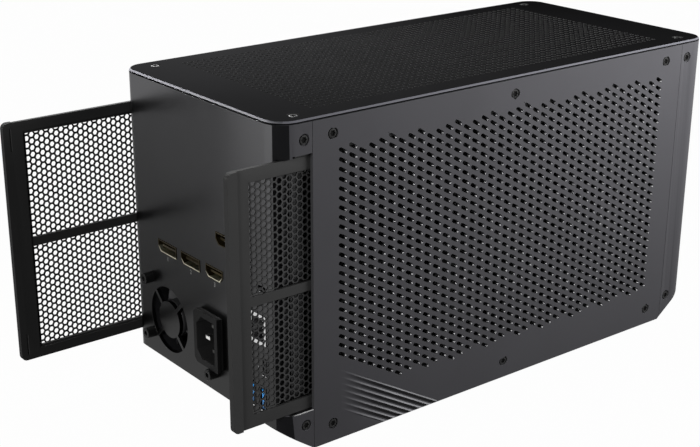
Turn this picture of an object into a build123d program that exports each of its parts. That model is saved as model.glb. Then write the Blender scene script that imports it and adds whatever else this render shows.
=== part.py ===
# External graphics card enclosure: an aluminium box with two sliding dust filters, a water cooled
# graphics card, a small power supply and an interface board. Millimetres, +Z up, port face towards -X.
import os
from math import cos, radians, sin, sqrt, tan

from build123d import *

# Body
body_length = 300.0
body_width = 140.2
body_height = 169.3
foot_height = 3.7
corner_radius = 11.0
sheet = 2.0
seam_gap = 0.25

# End caps
port_cap_depth = 19.5
port_bevel_height = 13.9
rear_cap_depth = 21.3
rear_bevel_length = 23.0
rear_bevel_height = 16.8

# Top cover
cover_thickness = 1.3
cover_shadow_gap = 0.4
cover_chamfer = 1.0
cover_hole_size = 9.0
cover_hole_pitch = 16.0
cover_field_length = 244.0
cover_field_width = 115.0
cover_screw_inset_x = 15.2
cover_screw_inset_y = 8.8

# Slots of the side panels
slot_angle = 30.0
slot_length = 15.0
slot_width = 5.6
slot_pitch_x = 18.1
slot_pitch_z = 14.2
slot_field_left = 37.0
slot_field_right = 36.0
slot_field_top = 14.5
slot_field_bottom = 19.5
slot_margin = 9.0
slot_nose = 1.7
slot_corner_height = 66.4

# Diagonal grooves in the lower corner of each side panel
groove_count = 7
groove_pitch = 3.0
groove_depth = 0.7
groove_width = 1.7
groove_start = 39.0
groove_length = 51.0
groove_overrun = 8.0
groove_tip = 0.1
groove_foot = 99.5

# Dust filters
filter_rear_room = 7.8
filter_thickness = 2.0
filter_headroom = 18.3
filter_foot = 21.6
filter_inset = 2.4
filter_slip = 0.4
filter_end_bar = 12.0
filter_inner_bar = 8.0
filter_top_bar = 6.7
filter_middle_bar = 5.0
filter_corner = 3.0
rim_width = 5.5
rim_proud = 1.2
grip_groove_length = 11.7
grip_groove_width = 0.8
grip_groove_depth = 0.5
grip_groove_inset = 3.5
mesh_thickness = 0.6
mesh_recess = 1.3
mesh_slip = 0.1
mesh_hole = 12.6
mesh_web = 2.0
near_pull = 35.4
far_pull = 79.1

# Filter guides and the notch that the grip rests in
notch_length = 11.0
notch_headroom = 1.6
guide_wall = 1.5
guide_lip = 4.5
guide_strip_inset = 5.2

# Frame of the enclosure
post_width = 7.0
post_depth = 3.6
post_head_depth = 10.8
bar_depth = 7.0
upper_bar_height = 10.0
upper_bar_headroom = 2.8
lower_bar_height = 13.8
port_post_offset = 10.5
rear_post_offset = 12.0
foot_diameter = 16.0
foot_chamfer = 0.74
foot_inset_x = 40.0
foot_inset_y = 20.0

# Screws: flat round heads
screw_head = 5.8
screw_head_height = 1.0
screw_shank = 3.0
screw_length = 5.0
screw_clearance = 0.1
panel_screw_headroom = 9.5
panel_screw_lower = 9.8
panel_screw_inset_port = 12.0
panel_screw_inset_rear = 13.1
strip_screw_headroom = 9.8
strip_screw_lower = 14.0
strip_screw_inset_port = 15.0
strip_screw_inset_rear = 16.5

# Power supply
psu_length = 150.0
psu_width = 81.5
psu_height = 43.8
psu_far_room = 16.65
psu_floor = 18.0
psu_stand_setback = 20.0
psu_pocket_air = 0.1
psu_pocket_wall = 0.3
psu_fan_offset = 19.5
psu_fan_z = 38.6
psu_fan_size = 40.0
psu_fan_depth = 20.0
psu_fan_wall = 1.5
psu_fan_strut = 2.0
psu_fan_shaft = 2.0
psu_fan_blades = 5
psu_fan_blade_thickness = 1.0
grille_radius = 18.3
grille_hub = 10.2
grille_spoke = 2.0
socket_screw_head = 6.0
socket_screw_height = 5.3
socket_screw_key = 3.0
socket_screw_shank = 3.5
socket_screw_reach = 4.5
socket_screw_end_air = 1.0
psu_screw_offsets = ((36.3, 58.0), (36.6, 26.0), (-24.7, 24.7))

# Power inlet
inlet_offset = -22.2
inlet_z = 42.9
inlet_width = 21.8
inlet_height = 29.9
inlet_flange = 3.9
inlet_plate = 1.7
inlet_neck_inset = 0.8
inlet_throat_width = 20.0
inlet_throat_height = 28.0
inlet_cavity_width = 16.4
inlet_cavity_height = 23.6
inlet_cavity_depth = 16.0
inlet_cavity_chamfer = 4.5
inlet_flange_chamfer = 2.2
inlet_throat_chamfer = 0.5
inlet_body_depth = 22.0
pin_length = 12.0
pin_thickness = 2.0
pin_breadth = 4.0
pin_side_step = 2.0
pin_rise = 7.0
earth_lead = 1.3

# Display sockets, in the order that they stand along the port face
display_width = 18.0
display_height = 6.4
display_depth = 17.0
display_shell = 0.5
display_proud = 0.35
display_chamfer = 2.6
display_tongue_inset = 2.6
display_tongue_thickness = 1.1
display_tongue_setback = 1.5
display_places = ((30.9, 79.5), (8.35, 79.5), (-14.0, 80.0))
wide_display_width = 15.6
upper_display_place = (-25.3, 99.9)
carrier_width = 11.6
carrier_air = 0.3

# Interface sockets, standing on edge against their board: distance from the board, and height
network_offset = (7.0, 63.5)
network_width = 13.8
network_height = 16.0
network_depth = 17.0
network_opening_width = 9.4
network_opening_height = 12.0
network_opening_depth = 13.0
catch_depth = 1.2
catch_width = 6.0
usb_offsets = ((12.9, 27.0), (3.8, 27.0))
usb_width = 5.8
usb_height = 13.2
usb_depth = 15.0
usb_shell = 0.5
usb_tongue = 1.9
usb_c_offset = (1.8, 44.5)
usb_c_width = 3.4
usb_c_height = 9.2
usb_c_depth = 8.0
usb_c_shell = 0.4
usb_c_tongue = 0.7
tongue_setback = 1.2
tongue_end_room = 3.0
light_offset = (6.4, 43.5)
light_diameter = 1.6
light_length = 10.5
light_proud = 0.2
light_foot = 2.0
lock_offset = (3.0, 85.3)
lock_width = 7.0
lock_height = 3.0
socket_clearance = 0.15
socket_foot_setback = 1.0

# Boards
board_thickness = 1.6
card_board_z = 74.5
card_board_length = 236.0
card_slot_air = 0.4
card_far_room = 10.1
card_setback = 1.0
card_slot_start = 40.0
card_slot_length = 84.0
card_tongue = 7.5
card_slot_depth = 11.0
card_slot_height = 7.0
slot_air = 0.15
slot_end = 2.0
interface_board_room = 11.7
interface_board_setback = 0.5
interface_board_length = 166.0
interface_board_bottom = 20.5
interface_board_top = 88.5
board_bracket_length = 100.0
board_bracket_height = 34.0
board_bracket_foot = 14.0
chip_size = 32.0
chip_height = 2.2
chip_x = -40.0
chip_y = 5.0
memory_size = 12.0
memory_height = 1.2
memory_ring = 30.0
memory_layout = ((-1, -0.5), (-1, 0.5), (1, -0.5), (1, 0.5), (-0.5, 1), (0.5, 1))

# Liquid cooling
cold_plate_size = 62.0
cold_plate_height = 4.0
pump_diameter = 58.0
pump_height = 20.0
pump_chamfer = 2.0
pump_headroom = 8.2
hose_diameter = 9.0
hose_bore = 6.0
hose_spacing = 24.0
hose_height = 10.0
hose_bend = 14.0
fitting_diameter = 5.9
fitting_length = 7.0
fitting_root = 4.0
fitting_collar = 2.0
radiator_end_room = 12.0
radiator_corner = 4.0
radiator_rail = 4.0
radiator_tank = 16.0
radiator_fin_recess = 2.0
radiator_tubes = 12
radiator_fin_share = 0.72
radiator_port_inset = 10.0
tray_thickness = 1.5
tray_window_margin = 14.0
tray_port_hole = 12.0
fan_side_air = 1.1
fan_headroom = 4.0
fan_depth = 25.0
fan_wall = 3.0
fan_corner_share = 0.05
fan_hole_share = 0.0365
fan_hole_pitch_share = 0.875
fan_hub = 40.0
fan_blades = 7
fan_air = 1.0
fan_strut_height = 3.0
fan_blade_thickness = 1.6
fan_blade_share = 0.84
fan_root_angle = 48.0
fan_tip_angle = 26.0
fan_shaft = 3.0
shaft_air = 0.05
rotor_lift = 0.4

# Supports
tray_sheet = 1.5
card_tray_z = 66.3
card_tray_margin = 1.0
card_tray_setback = 22.0
card_tray_leg_gap = 16.0
card_tray_leg_inset = 4.0
card_tray_rear_room = 38.0
standoff_diameter = 5.0
standoff_inset_port = 40.0
standoff_inset_rear = 12.0
standoff_inset_near = 12.0
standoff_inset_far = 8.0

# Worked out from the sizes above
half_length = body_length / 2
half_width = body_width / 2
port_x = -half_length
port_seam = port_x + port_cap_depth
rear_seam = half_length - rear_cap_depth
floor_z = foot_height
cover_top = floor_z + body_height
cover_bottom = cover_top - cover_thickness
wall_top = cover_bottom - cover_shadow_gap
base_top = floor_z + sheet
inner_y = half_width - sheet
port_inner = port_x + sheet
filter_outer_y = half_width - filter_inset
filter_inner_y = filter_outer_y - filter_thickness
filter_bottom = floor_z + filter_foot
filter_top = cover_top - filter_headroom
guide_y = filter_inner_y - filter_slip
post_outer_y = guide_y - guide_wall
post_inner_y = post_outer_y - post_depth
notch_x = port_seam - notch_length
port_post_x = port_x + port_post_offset
rear_post_x = half_length - rear_post_offset - post_width
closed_end = notch_x + filter_slip
filter_length = rear_seam - filter_rear_room - closed_end
psu_centre_y = half_width - psu_far_room - psu_width / 2
psu_fan_y = psu_centre_y + psu_fan_offset
psu_screw_places = [(psu_centre_y + a, b) for a, b in psu_screw_offsets]
inlet_y = psu_centre_y + inlet_offset
interface_board_y = half_width - interface_board_room
card_board_near = interface_board_y - card_slot_depth - card_slot_air
card_board_far = half_width - card_far_room
card_tray_near = card_board_near - card_tray_margin
card_tray_far = card_board_far - card_tray_margin
card_tray_front = port_inner + psu_length + card_tray_leg_gap
card_tray_rear = half_length - card_tray_rear_room
fan_size = 2 * (inner_y - bar_depth - fan_side_air)
fan_floor = cover_bottom - fan_headroom - fan_depth
radiator_length = 2 * (half_length - sheet - radiator_end_room)
radiator_width = fan_size


def beside_board(offset):
    """Y and height of a socket from its distance to the interface board."""
    return (offset[0] - interface_board_y, offset[1])


network_place = beside_board(network_offset)
usb_places = [beside_board(offset) for offset in usb_offsets]
usb_c_place = beside_board(usb_c_offset)
light_place = beside_board(light_offset)
lock_place = beside_board(lock_offset)


def block(x0, x1, y0, y1, z0, z1):
    """A box between two corners."""
    size = (abs(x1 - x0), abs(y1 - y0), abs(z1 - z0))
    return Pos((x0 + x1) / 2, (y0 + y1) / 2, (z0 + z1) / 2) * Box(*size)


def rod_x(x0, x1, y, z, diameter):
    """A round bar along X."""
    return Pos((x0 + x1) / 2, y, z) * Rot(0, 90, 0) * Cylinder(diameter / 2, abs(x1 - x0))


def rod_y(y0, y1, x, z, diameter):
    """A round bar along Y."""
    return Pos(x, (y0 + y1) / 2, z) * Rot(90, 0, 0) * Cylinder(diameter / 2, abs(y1 - y0))


def rod_z(z0, z1, x, y, diameter):
    """A round bar along Z."""
    return Pos(x, y, (z0 + z1) / 2) * Cylinder(diameter / 2, abs(z1 - z0))


def prism_x(points, x0, x1):
    """An outline in Y and Z, carried along X from x0 to x1."""
    face = make_face(Polyline(*[(x0, y, z) for y, z in points], close=True))
    return extrude(face, amount=x1 - x0, dir=(1, 0, 0))


def prism_y(points, y0, y1):
    """An outline in X and Z, carried along Y from y0 to y1."""
    face = make_face(Polyline(*[(x, y0, z) for x, z in points], close=True))
    return extrude(face, amount=y1 - y0, dir=(0, 1, 0))


def rounded_plan(inset, z0, z1):
    """The rounded rectangle of the body seen from above, inset by a wall, between two heights."""
    plan = RectangleRounded(body_length - 2 * inset, body_width - 2 * inset, corner_radius - inset)
    return Pos(0, 0, z0) * extrude(plan, z1 - z0)


def save(shape, name):
    """Write one node."""
    if isinstance(shape, (list, ShapeList)):
        shape = Compound(children=list(shape))
    shape.label = name
    export_step(shape, f"parts/{name}.step")


# The bevel under each end, as a slope in X and Z
def bevel_z(x, inset):
    """Height of the sloping underside at x, moved inwards by inset."""
    if x < 0:
        slope = port_bevel_height / port_cap_depth
        start = port_seam
        run = start - x
    else:
        slope = rear_bevel_height / rear_bevel_length
        start = half_length - rear_bevel_length
        run = x - start
    return floor_z + run * slope + inset * sqrt(1 + slope * slope)


def above_bevel(end, inset, y_reach, z1):
    """Everything above the sloping underside of one end, up to z1."""
    reach = end * (half_length + sheet)
    low = floor_z + inset
    if end < 0:
        slope = port_bevel_height / port_cap_depth
        knee = port_seam + (sqrt(1 + slope * slope) - 1) * inset / slope
    else:
        slope = rear_bevel_height / rear_bevel_length
        knee = half_length - rear_bevel_length - (sqrt(1 + slope * slope) - 1) * inset / slope
    points = [(0, low), (knee, low), (reach, bevel_z(reach, inset)), (reach, z1), (0, z1)]
    return prism_y(points, -y_reach, y_reach)


# Screws
def screw(length):
    """A flat-headed screw along +Z whose head's top lies at the origin."""
    head = Pos(0, 0, -screw_head_height / 2) * Cylinder(screw_head / 2, screw_head_height)
    shank_top = -screw_head_height
    shank = Pos(0, 0, shank_top - length / 2) * Cylinder(screw_shank / 2, length)
    return head + shank


def side_screw(x, z, side, length=screw_length):
    """A screw in a side wall, its head flush with the outside."""
    turn = Rot(90, 0, 0) if side < 0 else Rot(-90, 0, 0)
    return Pos(x, side * half_width, z) * turn * screw(length)


def side_screw_hole(x, z, side):
    """The stepped hole for a screw in a side wall."""
    head = screw_head + 2 * screw_clearance
    outside = side * (half_width + screw_head_height)
    seat = side * (half_width - screw_head_height)
    through = side * (half_width - sheet - screw_length - screw_clearance)
    return rod_y(outside, seat, x, z, head) + rod_y(seat, through, x, z, screw_shank + 2 * screw_clearance)


def cover_screw_points():
    """Places of the four cover screws."""
    x = half_length - cover_screw_inset_x
    y = half_width - cover_screw_inset_y
    return [(a * x, b * y) for a in (-1, 1) for b in (-1, 1)]


def cover_screw_hole(x, y):
    """The stepped hole for a cover screw."""
    head = screw_head + 2 * screw_clearance
    seat = cover_top - screw_head_height
    deep = cover_top - screw_head_height - screw_length - screw_clearance
    return rod_z(seat, cover_top + 1, x, y, head) + rod_z(deep, seat, x, y, screw_shank + 2 * screw_clearance)


strip_screw_z = (floor_z + strip_screw_lower, cover_top - strip_screw_headroom)
strip_screws_port = [(port_x + strip_screw_inset_port, z) for z in strip_screw_z]
strip_screws_rear = [(half_length - strip_screw_inset_rear, z) for z in strip_screw_z]
panel_screw_x = (port_seam + panel_screw_inset_port,
                 (port_seam + rear_seam + panel_screw_inset_port - panel_screw_inset_rear) / 2,
                 rear_seam - panel_screw_inset_rear)
panel_screw_z = (floor_z + panel_screw_lower, cover_top - panel_screw_headroom)
panel_screws = [(x, z) for x in panel_screw_x for z in panel_screw_z]


# End caps: one bent and welded aluminium sheet each, round the end and under its bevel
def end_cap(end):
    """The shell of one end, open towards the middle and upwards."""
    seam = port_seam if end < 0 else rear_seam
    outer = rounded_plan(0, floor_z, wall_top) & above_bevel(end, 0, half_width, wall_top)
    inner = rounded_plan(sheet, floor_z, cover_top) & above_bevel(end, sheet, half_width, cover_top)
    far = end * (half_length + 1)
    keep = block(seam, far, -half_width, half_width, 0, cover_top)
    return (outer - inner) & keep


def filter_channel(side):
    """The channel that a filter slides in through the port cap, and the notch for its grip."""
    reach = side * (half_width + 1)
    low = filter_bottom - filter_slip
    channel = block(port_x - 1, notch_x + 1, side * guide_y, reach, low, filter_top + filter_slip)
    notch = block(notch_x, port_seam + 1, side * guide_y, reach, low, filter_top + notch_headroom)
    return channel + notch


def grille():
    """The four arcs of the fan grille, as a cutter along X."""
    z = floor_z + psu_fan_z
    x0 = port_x - 1
    x1 = port_inner + 1
    ring = rod_x(x0, x1, psu_fan_y, z, 2 * grille_radius) - rod_x(x0, x1, psu_fan_y, z, 2 * grille_hub)
    spoke = block(x0 - 1, x1 + 1, -grille_radius - 1, grille_radius + 1, -grille_spoke / 2, grille_spoke / 2)
    for angle in (45, 135):
        ring -= Pos(0, psu_fan_y, z) * Rot(angle, 0, 0) * spoke
    return ring


def display_outline(width, height, both, grow):
    """Outline of a display socket in Y and Z about its centre: one or both lower corners cut off."""
    w = width / 2 + grow
    h = height / 2 + grow
    c = display_chamfer
    points = [(w, h), (-w, h)]
    if both:
        points += [(-w, c - h), (c - w, -h)]
    else:
        points += [(-w, -h)]
    return points + [(w - c, -h), (w, c - h)]


def display_cut(place, width, both, grow, x0, x1):
    """A prism of the display socket's outline."""
    y, z = place
    points = [(y + a, floor_z + z + b) for a, b in display_outline(width, display_height, both, grow)]
    return prism_x(points, x0, x1)


def make_port_cap():
    """The port end: sockets, fan grille, inlet, lock slot and the channels of both filters."""
    cap = end_cap(-1)
    x0 = port_x - 1
    x1 = port_inner + 1
    for side in (-1, 1):
        cap -= filter_channel(side)
        for x, z in strip_screws_port:
            cap -= side_screw_hole(x, z, side)
    cap -= grille()
    for place in display_places[:2]:
        cap -= display_cut(place, display_width, False, socket_clearance, x0, x1)
    cap -= display_cut(display_places[2], wide_display_width, True, socket_clearance, x0, x1)
    cap -= display_cut(upper_display_place, display_width, False, socket_clearance, x0, x1)
    half_w = inlet_throat_width / 2 + socket_clearance
    half_h = inlet_throat_height / 2 + socket_clearance
    z = floor_z + inlet_z
    cap -= block(x0, x1, inlet_y - half_w, inlet_y + half_w, z - half_h, z + half_h)
    for y, z in psu_screw_places:
        cap -= rod_x(x0, x1, y, floor_z + z, socket_screw_shank + 2 * screw_clearance)
    sizes = [(network_place, network_width, network_height), (usb_c_place, usb_c_width, usb_c_height)]
    sizes += [(place, usb_width, usb_height) for place in usb_places]
    for (y, z), width, height in sizes:
        half_w = width / 2 + socket_clearance
        half_h = height / 2 + socket_clearance
        cap -= block(x0, x1, y - half_w, y + half_w, floor_z + z - half_h, floor_z + z + half_h)
    y, z = light_place
    cap -= rod_x(x0, x1, y, floor_z + z, light_diameter + 2 * socket_clearance)
    y, z = lock_place
    lock = Pos(x0, y, floor_z + z) * Rot(0, 90, 0) * extrude(SlotOverall(lock_width, lock_height, 90), x1 - x0)
    return cap - lock


def make_rear_cap():
    """The plain far end."""
    cap = end_cap(1)
    for side in (-1, 1):
        for x, z in strip_screws_rear:
            cap -= side_screw_hole(x, z, side)
    return cap


# Side panels: flat sheets with slanted slots and grooves
def slot_shape():
    """One slanted slot as a thin cutter through the near panel, centred on X and Z."""
    half = slot_length / 2
    w = slot_width / 2
    nose = slot_nose
    points = [(-half, 0), (nose - half, w), (half - nose, w), (half, 0), (half - nose, -w), (nose - half, -w)]
    return prism_y(points, -2 * sheet, 2 * sheet)


def slot_centres():
    """Centres of the slots: upright columns, each lower by the slant, inside a field with a cut corner."""
    drop = slot_pitch_x * tan(radians(slot_angle))
    left = port_x + slot_field_left + slot_margin / 2
    right = half_length - slot_field_right - slot_margin / 2
    top = wall_top - slot_field_top - slot_margin / 2
    bottom = floor_z + slot_field_bottom + slot_margin / 2
    corner_line = floor_z + slot_corner_height
    rows = int(body_height / slot_pitch_z)
    centres = []
    for i in range(int((right - left) / slot_pitch_x) + 1):
        x = left + i * slot_pitch_x
        start = top - i * drop
        lowest = max(bottom, corner_line - i * drop)
        for j in range(-rows, 2 * rows):
            z = start + j * slot_pitch_z
            if lowest <= z <= top:
                centres.append((x, z))
    return centres


def groove_cutter():
    """One V groove that runs down at the slots' slant and gets shallower upwards."""
    half = groove_width / 2
    deep = [(0, -half), (0, half), (groove_depth, 0)]
    face = make_face(Polyline(*[(0, -a, b) for a, b in deep], close=True))
    end = make_face(Polyline(*[(-groove_length, -a * groove_tip, b * groove_tip) for a, b in deep], close=True))
    return loft([face.faces()[0], end.faces()[0]])


def make_side_panel(side):
    """A side panel; the far one is the near one mirrored."""
    x0 = port_seam + seam_gap
    x1 = rear_seam - seam_gap
    panel = block(x0, x1, -half_width, -inner_y, floor_z, wall_top)
    knee = half_length - rear_bevel_length
    if knee < x1:
        corner = [(knee, floor_z - 1), (x1 + 1, floor_z - 1), (x1 + 1, bevel_z(x1 + 1, 0)), (knee, floor_z)]
        panel -= prism_y(corner, -half_width - 1, -inner_y + 1)
    cutter = slot_shape()
    cutters = [Pos(x, -half_width + sheet / 2, z) * Rot(0, slot_angle, 0) * cutter for x, z in slot_centres()]
    panel -= cutters
    groove = groove_cutter()
    step = groove_pitch / sin(radians(slot_angle))
    grooves = []
    for i in range(groove_count):
        x = port_x + groove_foot - i * step
        grooves.append(Pos(x, -half_width, floor_z) * Rot(0, slot_angle, 0) * Pos(groove_overrun, 0, 0) * groove)
    panel -= [g & block(port_x + groove_start, port_x + 2 * groove_foot, -half_width - 1, -inner_y, 0, cover_top)
              for g in grooves]
    for x, z in panel_screws:
        panel -= side_screw_hole(x, z, -1)
    return panel if side < 0 else mirror(panel, Plane.XZ)


# Top cover: a plate with a bright cut edge and a perforated field
def make_top_cover():
    """The cover, its upper edge chamfered all round."""
    cover = rounded_plan(0, cover_bottom, cover_top)
    cover = chamfer(cover.faces().sort_by(Axis.Z)[-1].edges(), cover_chamfer)
    columns = int(cover_field_length / cover_hole_pitch)
    rows = int(cover_field_width / cover_hole_pitch)
    hole = extrude(Rectangle(cover_hole_size, cover_hole_size), 3 * cover_thickness)
    cutters = []
    for i in range(columns):
        for j in range(rows):
            x = (i - (columns - 1) / 2) * cover_hole_pitch
            y = (j - (rows - 1) / 2) * cover_hole_pitch
            cutters.append(Pos(x, y, cover_bottom - cover_thickness) * hole)
    cover -= cutters
    for x, y in cover_screw_points():
        cover -= cover_screw_hole(x, y)
    return cover


def make_base_plate():
    """The floor of the box, between the panels and the bevels."""
    plate = block(port_seam + seam_gap, half_length - rear_bevel_length - seam_gap,
                  -inner_y, inner_y, floor_z, base_top)
    return plate


# Corner posts and long bars that the sheets are screwed to
def make_post(end, side):
    """A corner post with thick heads at top and bottom; it stands on the bevel inside its cap."""
    x0 = port_post_x if end < 0 else rear_post_x
    x1 = x0 + post_width
    thin = block(x0, x1, side * post_inner_y, side * post_outer_y, floor_z, cover_bottom)
    head_inner = side * (inner_y - post_head_depth)
    upper = filter_top + notch_headroom + guide_wall
    lower = filter_bottom - filter_slip - guide_wall
    thick = block(x0, x1, head_inner, side * inner_y, upper, cover_bottom)
    thick += block(x0, x1, head_inner, side * inner_y, floor_z, lower)
    room = rounded_plan(sheet, floor_z, cover_bottom) & above_bevel(end, sheet, half_width, cover_bottom)
    post = (thin + thick) & room
    for x, z in (strip_screws_port if end < 0 else strip_screws_rear):
        post -= side_screw_hole(x, z, side)
    for x, y in cover_screw_points():
        if x * end > 0 and y * side > 0:
            post -= cover_screw_hole(x, y)
    return post


def make_bar(side, upper):
    """A long bar between two posts."""
    x0 = port_post_x + post_width
    x1 = rear_post_x
    if upper:
        z1 = wall_top - upper_bar_headroom
        z0 = z1 - upper_bar_height
    else:
        z0 = base_top
        z1 = z0 + lower_bar_height
    bar = block(x0, x1, side * (inner_y - bar_depth), side * inner_y, z0, z1)
    if not upper:
        bar = bar & above_bevel(-1, sheet, half_width, cover_top) + above_bevel(1, sheet, half_width, cover_top)
    for x, z in panel_screws:
        bar -= side_screw_hole(x, z, side)
    return bar


# Filter guides: moulded channels that hold each filter top and bottom
def make_guide(side):
    """Upper and lower channel, joined by an upright strip at the port end and a stop at the other."""
    inner = side * post_outer_y
    lip = side * guide_y
    panel_face = side * inner_y
    x_start = port_x + corner_radius
    x_strip = port_x + guide_strip_inset
    x_end = closed_end + filter_length + filter_slip
    low = filter_bottom - filter_slip
    high = filter_top + filter_slip
    guide = block(x_start, x_end, inner, panel_face, low - guide_wall, low)
    guide += block(x_start, x_end, inner, panel_face, high, high + guide_wall)
    guide += block(x_strip, x_end, inner, lip, low - guide_wall, low + guide_lip)
    guide += block(x_strip, x_end, inner, lip, high - guide_lip, high + guide_wall)
    guide += block(x_strip, notch_x, inner, lip, low - guide_wall, high + guide_wall)
    guide += block(x_end, x_end + guide_wall, inner, panel_face, low - guide_wall, high + guide_wall)
    return guide


# Dust filters: a moulded frame with a perforated sheet in a recess of its inner face
def filter_windows(x_outer):
    """Edges in X and Z of the four windows of a filter whose outer end is at x_outer."""
    x0 = x_outer + filter_end_bar
    x1 = x_outer + filter_length - filter_inner_bar
    xm = (x0 + x1) / 2
    z0 = filter_bottom + filter_top_bar
    z1 = filter_top - filter_top_bar
    zm = (z0 + z1) / 2
    half = filter_middle_bar / 2
    columns = ((x0, xm - half), (xm + half, x1))
    rows = ((z0, zm - half), (zm + half, z1))
    return [(*column, *row) for column in columns for row in rows]


def make_filter_frame(side, x_outer):
    """The frame, with rounded outer corners, a proud grip rim and two short grooves on the inside."""
    x1 = x_outer + filter_length
    outer = side * filter_outer_y
    frame = block(x_outer, x1, side * filter_inner_y, outer, filter_bottom, filter_top)
    proud = side * (filter_outer_y + rim_proud)
    rim = block(x_outer, x_outer + rim_width, outer, proud, filter_bottom, filter_top)
    frame += rim
    corners = frame.edges().filter_by(Axis.Y).group_by(Axis.X)[0]
    frame = fillet(corners, filter_corner)
    for a, b, c, d in filter_windows(x_outer):
        frame -= block(a, b, side * 0.5 * filter_inner_y, side * half_width, c, d)
    recess = mesh_box(side, x_outer, 0.0, filter_inner_y - 1)
    frame -= recess
    x = x_outer + grip_groove_inset
    for z0 in (filter_bottom + filter_corner, filter_top - filter_corner - grip_groove_length):
        frame -= block(x, x + grip_groove_width, side * (filter_inner_y - 1),
                       side * (filter_inner_y + grip_groove_depth), z0, z0 + grip_groove_length)
    return frame


def mesh_box(side, x_outer, inset, y_inner):
    """The space of the mesh sheet, from its seat in the frame inwards to y_inner."""
    windows = filter_windows(x_outer)
    x0 = min(w[0] for w in windows) - mesh_recess + inset
    x1 = max(w[1] for w in windows) + mesh_recess - inset
    z0 = min(w[2] for w in windows) - mesh_recess + inset
    z1 = max(w[3] for w in windows) + mesh_recess - inset
    seat = filter_inner_y + mesh_thickness
    return block(x0, x1, side * y_inner, side * seat, z0, z1)


def make_filter_mesh(side, x_outer):
    """The hexagon mesh; its holes stay inside the windows."""
    sheet_box = mesh_box(side, x_outer, mesh_slip, filter_inner_y)
    hexagon = extrude(RegularPolygon(mesh_hole / 2, 6, major_radius=False), 2 * filter_thickness, both=True)
    hexagon = Rot(90, 0, 0) * hexagon
    pitch = mesh_hole + mesh_web
    column = pitch * cos(radians(30))
    cutters = []
    for a, b, c, d in filter_windows(x_outer):
        columns = int((b - a - mesh_web) / column)
        rows = int((d - c - pitch / 2) / pitch)
        for i in range(columns):
            for j in range(rows):
                x = (a + b) / 2 + (i - (columns - 1) / 2) * column
                z = (c + d) / 2 + (j - (rows - 1) / 2 + (0.25 if i % 2 else -0.25)) * pitch
                cutters.append(Pos(x, side * filter_inner_y, z) * hexagon)
    return sheet_box - cutters


# Feet
def make_foot(end, side):
    """A round rubber foot with a softened lower edge."""
    x = end * (half_length - foot_inset_x)
    y = side * (half_width - foot_inset_y)
    foot = rod_z(0, foot_height, x, y, foot_diameter)
    return chamfer(foot.faces().sort_by(Axis.Z)[0].edges(), foot_chamfer)


# Power supply
psu_z0 = floor_z + psu_floor
psu_y0 = psu_centre_y - psu_width / 2
psu_y1 = psu_centre_y + psu_width / 2
fan_z = floor_z + psu_fan_z


def supply_screw_hole(place):
    """The clearance hole behind the port face for one of the supply's screws."""
    y, z = place
    reach = port_inner + socket_screw_reach + socket_screw_end_air
    return rod_x(port_inner - 1, reach, y, floor_z + z, socket_screw_shank + 2 * screw_clearance)


def make_psu_case():
    """The supply's case, with a pocket for its fan and one for the inlet."""
    case = block(port_inner, port_inner + psu_length, psu_y0, psu_y1, psu_z0, psu_z0 + psu_height)
    half = psu_fan_size / 2 + psu_pocket_air
    deep = port_inner + psu_fan_depth + psu_pocket_air
    low = max(fan_z - half, psu_z0 + psu_pocket_wall)
    high = min(fan_z + half, psu_z0 + psu_height - psu_pocket_wall)
    far = min(psu_fan_y + half, psu_y1 - psu_pocket_wall)
    case -= block(port_inner - 1, deep, psu_fan_y - half, far, low, high)
    half_w = inlet_throat_width / 2 + socket_clearance
    half_h = inlet_throat_height / 2 + socket_clearance
    z = floor_z + inlet_z
    back = port_x + inlet_body_depth + socket_clearance
    case -= block(port_inner - 1, back, inlet_y - half_w, inlet_y + half_w, z - half_h, z + half_h)
    for place in psu_screw_places:
        case -= supply_screw_hole(place)
    return case


# Fans: a square frame with a round duct, struts and a bearing, and a rotor with curved blades
def fan_frame(size, depth, hub, wall, strut_height, shaft):
    """A fan's frame about the Z axis, its intake side up and its motor base at z = 0."""
    duct = size / 2 - wall
    frame = Pos(0, 0, depth / 2) * Box(size, size, depth)
    frame = fillet(frame.edges().filter_by(Axis.Z), size * fan_corner_share)
    frame -= Pos(0, 0, depth / 2) * Cylinder(duct, depth + 2)
    frame += Pos(0, 0, strut_height / 2) * Cylinder(hub / 2, strut_height)
    strut = Pos(0, 0, strut_height / 2) * Box(2 * duct + wall, strut_height, strut_height)
    strut -= Cylinder(hub / 2 - 0.5, 4 * strut_height)
    for angle in (45, 135):
        frame += Rot(0, 0, angle) * strut
    frame -= Pos(0, 0, depth / 2) * Cylinder(shaft / 2 + shaft_air, depth + 2)
    hole = size * fan_hole_share
    place = size * fan_hole_pitch_share / 2
    for a in (-1, 1):
        for b in (-1, 1):
            frame -= Pos(a * place, b * place, depth / 2) * Cylinder(hole / 2, depth + 2)
    return frame


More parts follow.
